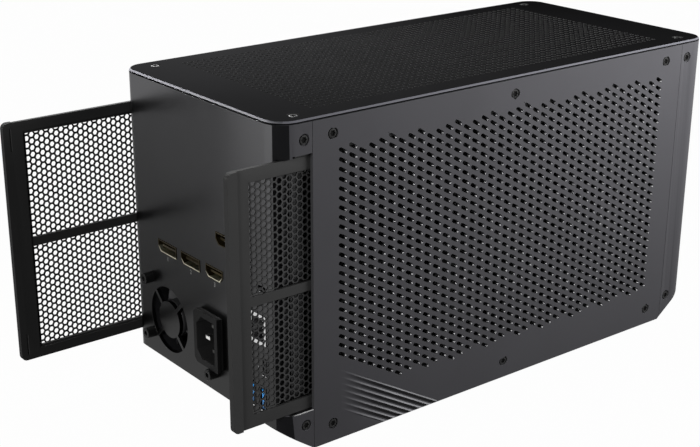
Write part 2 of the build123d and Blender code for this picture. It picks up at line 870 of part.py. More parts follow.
def fan_rotor(size, depth, hub, wall, strut_height, shaft, blades, thickness):
    """A rotor about the Z axis: hub, shaft and blades that are twisted from root to tip."""
    tip = size / 2 - wall - fan_air
    low = strut_height + rotor_lift
    high = depth - rotor_lift
    body = Pos(0, 0, (low + high) / 2) * Cylinder(hub / 2, high - low)
    body = fillet(body.faces().sort_by(Axis.Z)[-1].edges(), thickness)
    body += Pos(0, 0, low - strut_height / 2) * Cylinder(shaft / 2, strut_height)
    middle = (low + high) / 2
    chord = fan_blade_share * (high - low) / sin(radians(fan_root_angle))
    root = hub / 2 - thickness
    sections = []
    for radius, pitch in ((root, fan_root_angle), (tip, fan_tip_angle)):
        profile = Plane(origin=(radius, 0, middle), x_dir=(0, 1, 0), z_dir=(1, 0, 0))
        turned = profile * Rot(0, 0, pitch)
        sections.append((turned * Rectangle(chord, thickness)).faces()[0])
    blade = loft(sections)
    ring = Pos(0, 0, middle) * Cylinder(tip, high - low - rotor_lift)
    blade = blade & ring
    for i in range(blades):
        body += Rot(0, 0, 360 * i / blades) * blade
    return body


case_fan = (fan_size, fan_depth, fan_hub, fan_wall, fan_strut_height, fan_shaft)
psu_fan = (psu_fan_size, psu_fan_depth, 2 * grille_hub, psu_fan_wall, psu_fan_strut, psu_fan_shaft)
fan_places = (-fan_size / 2, fan_size / 2)


def psu_fan_place(shape):
    """Puts the small fan behind the grille, its motor base away from the port face."""
    return Pos(port_inner + psu_fan_depth, psu_fan_y, fan_z) * Rot(0, -90, 0) * shape


def make_supply_fan_frame():
    """The small fan's frame, with room for the screws that hold the supply."""
    frame = psu_fan_place(fan_frame(*psu_fan))
    for place in psu_screw_places:
        frame -= supply_screw_hole(place)
    return frame


# Power inlet and its pins
def inlet_outline(width, height, cut):
    """A rectangle in Y and Z about the inlet, its two corners on the far side cut off."""
    z = floor_z + inlet_z
    w = width / 2
    h = height / 2
    y = inlet_y
    return [(y - w, z - h), (y + w - cut, z - h), (y + w, z - h + cut), (y + w, z + h - cut), (y + w - cut, z + h),
            (y - w, z + h)]


def make_inlet():
    """The moulded inlet: a flange plate on a short neck, a throat through the port face and the plug's cavity."""
    face = port_x - inlet_flange
    inlet = prism_x(inlet_outline(inlet_width, inlet_height, inlet_flange_chamfer), face, face + inlet_plate)
    neck_width = inlet_width - 2 * inlet_neck_inset
    neck_height = inlet_height - 2 * inlet_neck_inset
    inlet += prism_x(inlet_outline(neck_width, neck_height, inlet_throat_chamfer), face + inlet_plate, port_x)
    throat = inlet_outline(inlet_throat_width, inlet_throat_height, inlet_throat_chamfer)
    inlet += prism_x(throat, port_x, port_x + inlet_body_depth)
    cavity = inlet_outline(inlet_cavity_width, inlet_cavity_height, inlet_cavity_chamfer)
    inlet -= prism_x(cavity, face - 1, face + inlet_cavity_depth)
    for pin in pin_places():
        inlet -= pin_blade(pin)
    return inlet


def pin_places():
    """Y, height and lead of the three pins; the earth pin is nearest the cut corners and reaches furthest out."""
    z = floor_z + inlet_z
    side = inlet_y - pin_side_step
    return [(inlet_y + pin_side_step, z, earth_lead), (side, z - pin_rise, 0), (side, z + pin_rise, 0)]


def pin_blade(place):
    """One flat pin, from inside the cavity out through the back of the inlet."""
    y, z, lead = place
    x0 = port_x - inlet_flange + inlet_cavity_depth - pin_length - lead
    x1 = port_x + inlet_body_depth
    return block(x0, x1, y - pin_breadth / 2, y + pin_breadth / 2, z - pin_thickness / 2, z + pin_thickness / 2)


def socket_screw(place):
    """A cap screw with a hexagon socket, its head standing on the port face."""
    y, z = place
    z += floor_z
    head = rod_x(port_x - socket_screw_height, port_x, y, z, socket_screw_head)
    shank = rod_x(port_x, port_inner + socket_screw_reach, y, z, socket_screw_shank)
    key = Pos(port_x - socket_screw_height, y, z) * Rot(0, 90, 0) * extrude(
        RegularPolygon(socket_screw_key / 2, 6), socket_screw_height / 2)
    return head + shank - key


# Sockets of the card
def display_socket(place, width, both, stacked=False):
    """A folded metal shell round a contact tongue; the upper one stands on a tall carrier."""
    y, z = place
    x0 = port_x - display_proud
    x1 = x0 + display_depth
    shell = display_cut(place, width, both, 0, x0, x1)
    shell -= display_cut(place, width, both, -display_shell, x0 - 1, x1 - display_shell)
    tongue_w = width / 2 - display_tongue_inset
    tongue_h = display_tongue_thickness / 2
    middle = floor_z + z
    tongue_x = x0 + display_tongue_setback
    shell += block(tongue_x, x1, y - tongue_w, y + tongue_w, middle - tongue_h, middle + tongue_h)
    board_top = floor_z + card_board_z + board_thickness
    bottom = floor_z + z - display_height / 2
    if stacked:
        edge = y - width / 2
        shell += block(port_inner + carrier_air, x1, edge, edge + carrier_width, board_top, bottom)
    elif bottom > board_top:
        shell += block(port_inner + carrier_air, x1, y - tongue_w, y + tongue_w, board_top, bottom)
    return shell


# Sockets of the interface board
def edge_socket(place, width, height, depth, wall):
    """A metal shell that stands on edge, open at the port face and backed against its board."""
    y, z = place
    z += floor_z
    x0 = port_x - display_proud
    x1 = x0 + depth
    shell = block(x0, x1, y - width / 2, y + width / 2, z - height / 2, z + height / 2)
    shell -= block(x0 - 1, x1 - wall, y - width / 2 + wall, y + width / 2 - wall,
                   z - height / 2 + wall, z + height / 2 - wall)
    return shell


def edge_tongue(place, y0, y1, height, depth):
    """The contact tongue inside a socket that stands on edge."""
    y, z = place
    z += floor_z
    x0 = port_x + tongue_setback
    return block(x0, port_x - display_proud + depth, y + y0, y + y1, z - height / 2, z + height / 2)


def foot_to_board(place, width, height, depth):
    """The solder foot between a socket and its board."""
    y, z = place
    z += floor_z
    x0 = port_inner + socket_foot_setback
    x1 = port_x - display_proud + depth
    return block(x0, x1, -interface_board_y, y - width / 2, z - height / 4, z + height / 4)


def make_network_socket():
    """The network socket, with the notch for the plug's catch."""
    y, z = network_place
    z += floor_z
    x0 = port_x - display_proud
    body = block(x0, x0 + network_depth, y - network_width / 2, y + network_width / 2,
                 z - network_height / 2, z + network_height / 2)
    w = network_opening_width / 2
    body -= block(x0 - 1, x0 + network_opening_depth, y - w, y + w,
                  z - network_opening_height / 2, z + network_opening_height / 2)
    half = catch_width / 2
    body -= block(x0 - 1, x0 + network_opening_depth / 2, y, y + w + catch_depth, z - half, z + half)
    return body + foot_to_board(network_place, network_width, network_height, network_depth)


def make_usb_socket(place):
    """A wide serial socket on edge; the outer one stands on the board and the inner one on the outer."""
    shell = edge_socket(place, usb_width, usb_height, usb_depth, usb_shell)
    inner = usb_width / 2 - usb_shell
    shell += edge_tongue(place, -inner, usb_tongue - inner, usb_height - tongue_end_room, usb_depth)
    y, z = place
    z += floor_z
    rest = -interface_board_y if place == usb_places[1] else usb_places[1][0] + usb_width / 2
    return shell + block(port_inner + socket_foot_setback, port_x - display_proud + usb_depth, rest,
                         y - usb_width / 2, z - usb_height / 4, z + usb_height / 4)


def make_usb_c_socket():
    """The small reversible socket on edge."""
    shell = edge_socket(usb_c_place, usb_c_width, usb_c_height, usb_c_depth, usb_c_shell)
    half = usb_c_tongue / 2
    shell += edge_tongue(usb_c_place, -half, half, usb_c_height - tongue_end_room, usb_c_depth)
    return shell + foot_to_board(usb_c_place, usb_c_width, usb_c_height, usb_c_depth)


def make_status_light():
    """A clear light pipe from the board to the port face."""
    y, z = light_place
    z += floor_z
    pipe = rod_x(port_x - light_proud, port_x + light_length, y, z, light_diameter)
    half = light_diameter / 2
    x1 = port_x + light_length
    return pipe + block(x1 - light_foot, x1, -interface_board_y, y, z - half, z + half)


# Boards
board_z = floor_z + card_board_z
card_top = board_z + board_thickness
card_x0 = port_inner + card_setback
card_x1 = card_x0 + card_board_length
slot_x0 = port_x + card_slot_start
slot_x1 = slot_x0 + card_slot_length


def make_card_board():
    """The graphics card's board with its soldered memory, its tongue in the slot of the interface board."""
    board = block(card_x0, card_x1, -card_board_near, card_board_far, board_z, card_top)
    tongue_y = -card_board_near - card_tongue
    board += block(slot_x0 + slot_end, slot_x1 - slot_end, tongue_y, -card_board_near, board_z, card_top)
    h = memory_size / 2
    for dx, dy in memory_layout:
        x = chip_x + dx * memory_ring
        y = chip_y + dy * memory_ring
        board += block(x - h, x + h, y - h, y + h, card_top, card_top + memory_height)
    return board


def make_card_slot():
    """The slot on the interface board that the card's tongue sits in."""
    middle = board_z + board_thickness / 2
    slot = block(slot_x0, slot_x1, -interface_board_y, card_slot_depth - interface_board_y,
                 middle - card_slot_height / 2, middle + card_slot_height / 2)
    gap = board_thickness / 2 + slot_air
    near = -card_board_near - card_tongue - slot_air
    end = slot_end - slot_air
    slot -= block(slot_x0 + end, slot_x1 - end, near, 0, middle - gap, middle + gap)
    return slot


def make_interface_board():
    """The upright board that carries the network and serial sockets."""
    x0 = port_inner + interface_board_setback
    x1 = port_inner + interface_board_length
    z0 = floor_z + interface_board_bottom
    z1 = floor_z + interface_board_top
    return block(x0, x1, -interface_board_y - board_thickness, -interface_board_y, z0, z1)


def make_board_bracket():
    """The folded bracket that the interface board is fixed to."""
    x0 = slot_x0
    x1 = x0 + board_bracket_length
    y0 = -interface_board_y
    upright = block(x0, x1, y0, y0 + tray_sheet, base_top, base_top + board_bracket_height)
    return upright + block(x0, x1, y0, y0 + board_bracket_foot, base_top, base_top + tray_sheet)


def make_card_tray():
    """The folded shelf under the card, with its two legs and the standoffs pressed into it."""
    z0 = floor_z + card_tray_z
    z1 = z0 + tray_sheet
    tray = block(port_x + card_tray_setback, card_tray_rear, -card_tray_near, card_tray_far, z0, z1)
    for x in (card_tray_front, card_tray_rear - tray_sheet):
        tray += block(x, x + tray_sheet, card_tray_leg_inset - card_tray_near, card_tray_far, base_top, z0)
    for x in (port_x + standoff_inset_port, card_x1 - standoff_inset_rear):
        for y in (standoff_inset_near - card_tray_near, card_tray_far - standoff_inset_far):
            tray += rod_z(z1, board_z, x, y, standoff_diameter)
    return tray


def make_psu_tray():
    """The folded stand under the power supply."""
    z1 = psu_z0
    x0 = port_x + psu_stand_setback
    x1 = port_inner + psu_length
    tray = block(x0, x1, psu_y0, psu_y1, z1 - tray_sheet, z1)
    for y in (psu_y0, psu_y1 - tray_sheet):
        tray += block(x0, x1, y, y + tray_sheet, base_top, z1 - tray_sheet)
    return tray


# Liquid cooling
plate_z = card_top + chip_height
pump_z = plate_z + cold_plate_height
tray_z0 = pump_z + pump_height + pump_headroom
radiator_z = tray_z0 + tray_thickness
radiator_height = fan_floor - radiator_z
hose_z = pump_z + hose_height
radiator_port_x = radiator_length / 2 - radiator_port_inset
hose_y = (chip_y - hose_spacing / 2, chip_y + hose_spacing / 2)
hose_start = chip_x + sqrt((pump_diameter / 2) ** 2 - (hose_spacing / 2) ** 2) + fitting_collar


def make_graphics_chip():
    """The graphics chip on the card."""
    h = chip_size / 2
    return block(chip_x - h, chip_x + h, chip_y - h, chip_y + h, card_top, plate_z)


def make_pump_block():
    """Cold plate and round pump in one piece, with two fittings towards the radiator's ports."""
    h = cold_plate_size / 2
    body = block(chip_x - h, chip_x + h, chip_y - h, chip_y + h, plate_z, pump_z)
    pump = rod_z(pump_z, pump_z + pump_height, chip_x, chip_y, pump_diameter)
    body += chamfer(pump.faces().sort_by(Axis.Z)[-1].edges(), pump_chamfer)
    root = hose_start - fitting_collar - fitting_root
    for y in hose_y:
        body += rod_x(root, hose_start + fitting_length, y, hose_z, fitting_diameter)
        body += rod_x(root, hose_start, y, hose_z, hose_diameter)
    return body


def make_hose(y):
    """One hose, pushed on the pump's fitting and on the port under the radiator's tank, in one smooth elbow."""
    top = radiator_z
    path = FilletPolyline((hose_start, y, hose_z), (radiator_port_x, y, hose_z), (radiator_port_x, y, top),
                          radius=hose_bend)
    plane = Plane(origin=(hose_start, y, hose_z), z_dir=(1, 0, 0))
    hose = sweep(plane * Circle(hose_diameter / 2), path=path)
    hose -= rod_x(hose_start - 1, hose_start + fitting_length, y, hose_z, hose_bore)
    return hose - rod_z(top - fitting_length, top + 1, radiator_port_x, y, hose_bore)


def make_radiator():
    """End tanks, side rails and a core of flat tubes between them."""
    half = radiator_length / 2
    z1 = radiator_z + radiator_height
    w = radiator_width / 2
    body = block(-half, half, -w, w, radiator_z, z1)
    body = fillet(body.edges().filter_by(Axis.Z), radiator_corner)
    core_x = half - radiator_tank
    pitch = (radiator_width - 2 * radiator_rail) / radiator_tubes
    for i in range(radiator_tubes):
        y = radiator_rail - w + (i + 0.5) * pitch
        groove = pitch * radiator_fin_share / 2
        for z0, z2 in ((z1 - radiator_fin_recess, z1 + 1), (radiator_z - 1, radiator_z + radiator_fin_recess)):
            body -= block(-core_x, core_x, y - groove, y + groove, z0, z2)
    for y in hose_y:
        body += rod_z(radiator_z - fitting_length, radiator_z, radiator_port_x, y, fitting_diameter)
    return body


def make_radiator_tray():
    """The sheet that the radiator rests on, open under the core and cut out for the ports."""
    x0 = port_post_x
    x1 = rear_post_x + post_width
    tray = block(x0, x1, -post_inner_y, post_inner_y, tray_z0, radiator_z)
    m = tray_window_margin
    for a, b in ((x0 + 2 * m, -m / 2), (m / 2, x1 - 2 * m)):
        tray -= block(a, b, m - post_inner_y, post_inner_y - m, tray_z0 - 1, radiator_z + 1)
    for y in hose_y:
        tray -= rod_z(tray_z0 - 1, radiator_z + 1, radiator_port_x, y, tray_port_hole)
    return tray


# Writing the nodes
os.makedirs("parts", exist_ok=True)
sides = {"near": -1, "far": 1}
outer_ends = {"near": closed_end - near_pull, "far": closed_end - far_pull}

save(make_port_cap(), "port_cap")
save(make_rear_cap(), "rear_cap")
save(make_top_cover(), "top_cover")
save(make_base_plate(), "base_plate")
for label, side in sides.items():
    save(make_side_panel(side), f"{label}_side_panel")
    save(make_post(-1, side), f"{label}_port_post")
    save(make_post(1, side), f"{label}_rear_post")
    save(make_bar(side, True), f"{label}_upper_bar")
    save(make_bar(side, False), f"{label}_lower_bar")
    save(make_guide(side), f"{label}_filter_guide")
    save(make_filter_frame(side, outer_ends[label]), f"{label}_filter_frame")
    save(make_filter_mesh(side, outer_ends[label]), f"{label}_filter_mesh")
    save([side_screw(x, z, side) for x, z in panel_screws], f"{label}_panel_screws")
    for word, end in (("port", -1), ("rear", 1)):
        save(make_foot(end, side), f"{label}_{word}_foot")
save([side_screw(x, z, s) for x, z in strip_screws_port for s in (-1, 1)], "port_cap_screws")
save([side_screw(x, z, s) for x, z in strip_screws_rear for s in (-1, 1)], "rear_cap_screws")
save([Pos(x, y, cover_top) * screw(screw_length) for x, y in cover_screw_points()], "cover_screws")

save(make_psu_case(), "power_supply")
save(make_psu_tray(), "power_supply_stand")
save(make_supply_fan_frame(), "supply_fan_frame")
save(psu_fan_place(fan_rotor(*psu_fan, psu_fan_blades, psu_fan_blade_thickness)), "supply_fan_rotor")
save(make_inlet(), "power_inlet")
save([pin_blade(p) for p in pin_places()], "inlet_pins")
save([socket_screw(p) for p in psu_screw_places], "supply_screws")

save(display_socket(display_places[0], display_width, False), "display_socket_1")
save(display_socket(display_places[1], display_width, False), "display_socket_2")
save(display_socket(display_places[2], wide_display_width, True), "display_socket_3")
save(display_socket(upper_display_place, display_width, False, True), "display_socket_4")
save(make_network_socket(), "network_socket")
save(make_usb_socket(usb_places[0]), "inner_usb_socket")
save(make_usb_socket(usb_places[1]), "outer_usb_socket")
save(make_usb_c_socket(), "usb_c_socket")
save(make_status_light(), "status_light")

save(make_card_board(), "card_board")
save(make_graphics_chip(), "graphics_chip")
save(make_card_slot(), "card_slot")
save(make_interface_board(), "interface_board")
save(make_board_bracket(), "board_bracket")
save(make_card_tray(), "card_tray")

save(make_pump_block(), "pump_block")
save(make_hose(hose_y[0]), "near_coolant_hose")
save(make_hose(hose_y[1]), "far_coolant_hose")
save(make_radiator(), "radiator")
save(make_radiator_tray(), "radiator_tray")
for word, x in zip(("port", "rear"), fan_places):
    save(Pos(x, 0, fan_floor) * fan_frame(*case_fan), f"{word}_fan_frame")
    rotor = fan_rotor(*case_fan, fan_blades, fan_blade_thickness)
    save(Pos(x, 0, fan_floor) * rotor, f"{word}_fan_rotor")
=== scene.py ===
"""An external graphics card enclosure: a grey aluminium box with slotted sides, a perforated black top, a
socket end, and two dust filters that slide out of it."""

import bmesh
import bpy
import numpy as np
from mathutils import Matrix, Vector


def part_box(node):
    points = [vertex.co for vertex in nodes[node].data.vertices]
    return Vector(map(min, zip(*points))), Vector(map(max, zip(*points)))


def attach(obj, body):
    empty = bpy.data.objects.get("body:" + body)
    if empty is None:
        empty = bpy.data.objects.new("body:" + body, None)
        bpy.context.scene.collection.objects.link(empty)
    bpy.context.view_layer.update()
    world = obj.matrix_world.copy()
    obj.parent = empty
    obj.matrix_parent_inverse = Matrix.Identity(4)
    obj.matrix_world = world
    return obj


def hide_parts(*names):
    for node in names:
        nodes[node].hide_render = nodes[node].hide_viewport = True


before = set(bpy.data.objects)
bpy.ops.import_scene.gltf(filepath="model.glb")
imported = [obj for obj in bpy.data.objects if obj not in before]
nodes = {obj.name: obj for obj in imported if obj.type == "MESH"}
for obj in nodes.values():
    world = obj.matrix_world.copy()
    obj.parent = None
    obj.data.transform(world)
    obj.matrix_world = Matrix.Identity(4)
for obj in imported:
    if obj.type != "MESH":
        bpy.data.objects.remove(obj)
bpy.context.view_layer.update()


# Studio. A wide white floor that keeps a faint shadow, an even white surround, and four soft lamps: at the
# left, high up behind, close by the near side, and close above the socket end. The camera stands at the
# photograph's place.
def new_object(name, data):
    """An object with its data, put into the scene at the origin."""
    item = bpy.data.objects.new(name, data)
    bpy.context.scene.collection.objects.link(item)
    return item


def math_node(tree, operation, clamp=False):
    """A shader node that does one sum, whose result may be kept between nothing and one."""
    node = tree.nodes.new("ShaderNodeMath")
    node.operation = operation
    node.use_clamp = clamp
    return node


def seen_directly(tree):
    """One for rays from the camera, from mirrors and through glass, and nothing for all others."""
    path = tree.nodes.new("ShaderNodeLightPath")
    total = path.outputs["Is Camera Ray"]
    for kind in ("Is Glossy Ray", "Is Transmission Ray"):
        add = math_node(tree, "ADD", clamp=True)
        tree.links.new(total, add.inputs[0])
        tree.links.new(path.outputs[kind], add.inputs[1])
        total = add.outputs[0]
    return total


def studio_floor(size=9.0, whiteness=0.985):
    """A square floor: its own diffuse shade mixed with plain white, so that only part of a shadow shows."""
    corners = np.array([(-1, -1, 0), (1, -1, 0), (1, 1, 0), (-1, 1, 0)]) * size / 2
    mesh = bpy.data.meshes.new("studio_floor")
    mesh.from_pydata(corners.tolist(), [], [(0, 1, 2, 3)])
    material = bpy.data.materials.new("studio_floor")
    material.use_nodes = True
    tree = material.node_tree
    tree.nodes.clear()
    link = tree.links.new
    output = tree.nodes.new("ShaderNodeOutputMaterial")
    blend = tree.nodes.new("ShaderNodeMixShader")
    diffuse = tree.nodes.new("ShaderNodeBsdfDiffuse")
    diffuse.inputs["Color"].default_value = (0.08, 0.08, 0.08, 1)
    white = tree.nodes.new("ShaderNodeEmission")
    white.inputs["Color"].default_value = (1, 1, 1, 1)
    share = math_node(tree, "MULTIPLY")
    share.inputs[1].default_value = whiteness
    link(seen_directly(tree), share.inputs[0])
    link(share.outputs[0], blend.inputs[0])
    link(diffuse.outputs[0], blend.inputs[1])
    link(white.outputs[0], blend.inputs[2])
    link(blend.outputs[0], output.inputs["Surface"])
    mesh.materials.append(material)
    floor = new_object("studio_floor", mesh)


def studio_lamp(name, place, target, width, height, power, spread=180.0):
    """A soft rectangular lamp at a place, turned to a target, its light kept within a cone."""
    data = bpy.data.lights.new(name, "AREA")
    data.shape = "RECTANGLE"
    data.size = width
    data.size_y = height
    data.energy = power
    data.spread = np.radians(spread)
    lamp = new_object(name, data)
    lamp.location = place
    lamp.rotation_euler = (Vector(target) - Vector(place)).to_track_quat("-Z", "Y").to_euler()


def studio_surround(strength=0.095):
    """White where the camera, a mirror or glass looks at it, and a dimmer even light for all else."""
    world = bpy.data.worlds.new("surround")
    bpy.context.scene.world = world
    world.use_nodes = True
    tree = world.node_tree
    tree.nodes.clear()
    link = tree.links.new
    output = tree.nodes.new("ShaderNodeOutputWorld")
    blend = tree.nodes.new("ShaderNodeMixShader")
    dim = tree.nodes.new("ShaderNodeBackground")
    dim.inputs["Color"].default_value = (1, 1, 1, 1)
    dim.inputs["Strength"].default_value = strength
    white = tree.nodes.new("ShaderNodeBackground")
    white.inputs["Color"].default_value = (1, 1, 1, 1)
    link(seen_directly(tree), blend.inputs[0])
    link(dim.outputs[0], blend.inputs[1])
    link(white.outputs[0], blend.inputs[2])
    link(blend.outputs[0], output.inputs["Surface"])


studio_floor()
studio_surround()
studio_lamp("key_lamp", (-1.05, -0.40, 0.50), (0, 0, 0.09), 0.4, 0.4, 5.2)
studio_lamp("back_lamp", (0.9, 1.3, 1.6), (0, 0, 0.1), 1.2, 1.2, 20)
studio_lamp("side_lamp", (0.25, -0.27, 0.27), (0.20, -0.07, 0.30), 0.44, 0.1, 2.28)
studio_lamp("top_lamp", (-0.10, 0.22, 0.38), (-0.09, 0.02, 0.17), 0.15, 0.15, 1.8, 90.0)
bpy.context.scene.view_settings.view_transform = "Standard"

camera_yaw, camera_pitch = np.radians(52.377), np.radians(20.395)
camera_data = bpy.data.cameras.new("camera")
camera_data.sensor_width = 36
camera_data.lens = 70.92
camera_data.shift_x = 0.0208
camera_data.shift_y = 0.01366
camera = new_object("camera", camera_data)
camera.location = (-0.4905, -0.5544, 0.3416)
look = Vector((np.cos(camera_yaw) * np.cos(camera_pitch), np.sin(camera_yaw) * np.cos(camera_pitch),
               -np.sin(camera_pitch)))
camera.rotation_euler = look.to_track_quat("-Z", "Y").to_euler()
bpy.context.scene.camera = camera


# Base plate. A flat bent sheet of dark steel that closes the box underneath, behind the bevels. It is
# lacquered in a fine satin black, like the rest of the inner sheet work.
def shader_group(name, inputs, outputs):
    """An empty shader node group with named float inputs, and named outputs of a given kind."""
    group = bpy.data.node_groups.new(name, "ShaderNodeTree")
    for label, value in inputs.items():
        socket = group.interface.new_socket(label, in_out="INPUT", socket_type="NodeSocketFloat")
        socket.default_value = value
    for label, kind in outputs.items():
        group.interface.new_socket(label, in_out="OUTPUT", socket_type=kind)
    return group, group.nodes.new("NodeGroupInput"), group.nodes.new("NodeGroupOutput")


def make_grain():
    """Fine grain: noise at two sizes on the object's own coordinates, the fine one for the surface's height
    and the coarse one for slow changes of shade and gloss."""
    group, given, result = shader_group("fine_grain", {"Scale": 2500.0, "Clouds": 22.0},
                                        {"Height": "NodeSocketFloat", "Cloud": "NodeSocketFloat"})
    link = group.links.new
    place = group.nodes.new("ShaderNodeTexCoord")
    for source, size, detail in (("Height", "Scale", 3.0), ("Cloud", "Clouds", 4.0)):
        noise = group.nodes.new("ShaderNodeTexNoise")
        noise.inputs["Detail"].default_value = detail
        link(place.outputs["Object"], noise.inputs["Vector"])
        link(given.outputs[size], noise.inputs["Scale"])
        link(noise.outputs["Fac"], result.inputs[source])
    return group


def make_edge_wear():
    """Worn edges, also a painted edge highlight: the mask rises where a rounded normal leaves the true one,
    broken up by noise.
    """
    group, given, result = shader_group("edge_wear_and_highlight", {"Radius": 0.0005, "Amount": 4.0},
                                        {"Mask": "NodeSocketFloat"})
    link = group.links.new
    geometry = group.nodes.new("ShaderNodeNewGeometry")
    rounded = group.nodes.new("ShaderNodeBevel")
    rounded.samples = 4
    compare = group.nodes.new("ShaderNodeVectorMath")
    compare.operation = "DOT_PRODUCT"
    away = math_node(group, "SUBTRACT")
    away.inputs[0].default_value = 1.0
    raised = math_node(group, "MULTIPLY")
    place = group.nodes.new("ShaderNodeTexCoord")
    patches = group.nodes.new("ShaderNodeTexNoise")
    patches.inputs["Scale"].default_value = 60.0
    broken = math_node(group, "MULTIPLY", clamp=True)
    link(given.outputs["Radius"], rounded.inputs["Radius"])
    link(rounded.outputs["Normal"], compare.inputs[0])
    link(geometry.outputs["Normal"], compare.inputs[1])
    link(compare.outputs["Value"], away.inputs[1])
    link(away.outputs[0], raised.inputs[0])
    link(given.outputs["Amount"], raised.inputs[1])
    link(place.outputs["Object"], patches.inputs["Vector"])
    link(raised.outputs[0], broken.inputs[0])
    link(patches.outputs["Fac"], broken.inputs[1])
    link(broken.outputs[0], result.inputs["Mask"])
    return group


fine_grain = make_grain()
# The edge mask stands for rubbed edges and also paints a highlight along every rounded edge.
edge_wear_and_highlight = make_edge_wear()


def coated(name, colour, worn_and_highlight, metallic, roughness, grain=0.00002, scale=2500.0, wear_and_highlight=2.0, cloud=0.1,
           **sockets):
    """A coated or bare hard surface. Its colour drifts a little with the clouds and turns to the edge colour
    on the edges, partly rubbing and partly a painted highlight; its roughness follows the clouds, and its
    height is the fine grain."""
    material = bpy.data.materials.new(name)
    material.use_nodes = True
    tree = material.node_tree
    link = tree.links.new
    surface = tree.nodes["Principled BSDF"]
    surface.inputs["Metallic"].default_value = metallic
    for label, value in sockets.items():
        surface.inputs[label.replace("_", " ")].default_value = value
    texture = tree.nodes.new("ShaderNodeGroup")
    texture.node_tree = fine_grain
    texture.inputs["Scale"].default_value = scale
    shade = tree.nodes.new("ShaderNodeMix")
    shade.data_type = "RGBA"
    shade.inputs[6].default_value = (*[c * (1 - cloud) for c in colour], 1)
    shade.inputs[7].default_value = (*[min(1.0, c * (1 + cloud)) for c in colour], 1)
    link(texture.outputs["Cloud"], shade.inputs[0])
    edges = tree.nodes.new("ShaderNodeGroup")
    edges.node_tree = edge_wear_and_highlight
    edges.inputs["Amount"].default_value = wear_and_highlight
    aged = tree.nodes.new("ShaderNodeMix")
    aged.data_type = "RGBA"
    aged.inputs[7].default_value = (*worn_and_highlight, 1)
    link(edges.outputs["Mask"], aged.inputs[0])
    link(shade.outputs[2], aged.inputs[6])
    link(aged.outputs[2], surface.inputs["Base Color"])
    gloss = tree.nodes.new("ShaderNodeMapRange")
    gloss.inputs["To Min"].default_value = roughness - 0.05
    gloss.inputs["To Max"].default_value = roughness + 0.05
    link(texture.outputs["Cloud"], gloss.inputs["Value"])
    link(gloss.outputs[0], surface.inputs["Roughness"])
    bump = tree.nodes.new("ShaderNodeBump")
    bump.inputs["Strength"].default_value = 1.0
    bump.inputs["Distance"].default_value = grain
    link(texture.outputs["Height"], bump.inputs["Height"])
    link(bump.outputs["Normal"], surface.inputs["Normal"])
    return material


def paint(material, *names):
    """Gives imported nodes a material."""
    for name in names:
        nodes[name].data.materials.clear()
        nodes[name].data.materials.append(material)


black_steel = coated("black_steel", (0.012, 0.012, 0.013), (0.05, 0.05, 0.052), 0.3, 0.5)
paint(black_steel, "base_plate")


# Feet. Four short round pads of moulded black rubber, stuck under the base. Their lower edge is rounded,
# and a shallow dish in the middle leaves a ring to stand on.
MM = 0.001


def corners_of(name):
    """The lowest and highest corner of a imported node, in millimetres."""
    return [np.array(corner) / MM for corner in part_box(name)]


def grid_faces(rows, columns, closed=True):
    """Quads of a grid of points, row by row, with the last column joined to the first if it is closed."""
    cells = columns if closed else columns - 1
    row, column = np.meshgrid(np.arange(rows - 1), np.arange(cells), indexing="ij")
    beside = (column + 1) % columns
    here, below = row * columns, (row + 1) * columns
    return np.stack((here + column, below + column, below + beside, here + beside), -1).reshape(-1, 4)


def turned(profile, count, lobes=None):
    """A profile of (radius, height) turned about the upright axis. lobes scales the radius by angle."""
    profile = np.asarray(profile, float)
    angle = np.arange(count) * 2 * np.pi / count
    radius = profile[:, :1] * (1 if lobes is None else lobes(angle))
    x, y = radius * np.cos(angle), radius * np.sin(angle)
    z = np.broadcast_to(profile[:, 1:], x.shape)
    return np.stack((x, y, z), -1).reshape(-1, 3), grid_faces(len(profile), count)[:, ::-1]


def merged(points, faces):
    """The surface as triangles, with points that coincide made one, and which triangles stay whole."""
    _, first, inverse = np.unique(np.round(points, 4), axis=0, return_index=True, return_inverse=True)
    triangles = faces if faces.shape[1] == 3 else np.concatenate((faces[:, [0, 1, 2]], faces[:, [0, 2, 3]]))
    triangles = inverse.ravel()[triangles]
    a, b, c = triangles.T
    whole = (a != b) & (b != c) & (c != a)
    return points[first], triangles, whole


def add_piece(name, points, faces, materials, body, stands_for=(), finish=None, crease=32.0):
    """Puts points in millimetres and faces into a mesh on a body. finish is each face's material."""
    points, triangles, whole = merged(np.asarray(points, float), np.asarray(faces))
    mesh = bpy.data.meshes.new(name)
    mesh.from_pydata((points * MM).tolist(), [], triangles[whole].tolist())
    for material in materials:
        mesh.materials.append(material)
    if finish is not None:
        index = finish if faces.shape[1] == 3 else np.concatenate((finish, finish))
        mesh.polygons.foreach_set("material_index", index[whole].astype(np.int32))
    mesh.shade_smooth()
    mesh.set_sharp_from_angle(angle=np.radians(crease))
    mesh.update()
    piece = new_object(name, mesh)
    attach(piece, body)
    if stands_for:
        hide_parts(*stands_for)


rubber = coated("moulded_rubber", (0.014, 0.014, 0.014), (0.03, 0.03, 0.03), 0.0, 0.75, grain=0.00004,
                scale=1800.0)
for foot_name in ("near_port_foot", "near_rear_foot", "far_port_foot", "far_rear_foot"):
    low, high = corners_of(foot_name)
    radius, height = (high[0] - low[0]) / 2, high[2] - low[2]
    dish_radius, dish_depth = radius - 3.3, 0.4
    side = [(0, dish_depth), (dish_radius, dish_depth), (dish_radius + 0.3, 0), (radius - 0.9, 0),
            (radius - 0.25, 0.3), (radius, 0.9), (radius, height), (0, height)]
    foot_points, foot_faces = turned(side, 48)
    foot_points += ((low + high) / 2) * (1, 1, 0)
    add_piece(foot_name + "_pad", foot_points, foot_faces, [rubber], "enclosure", [foot_name])
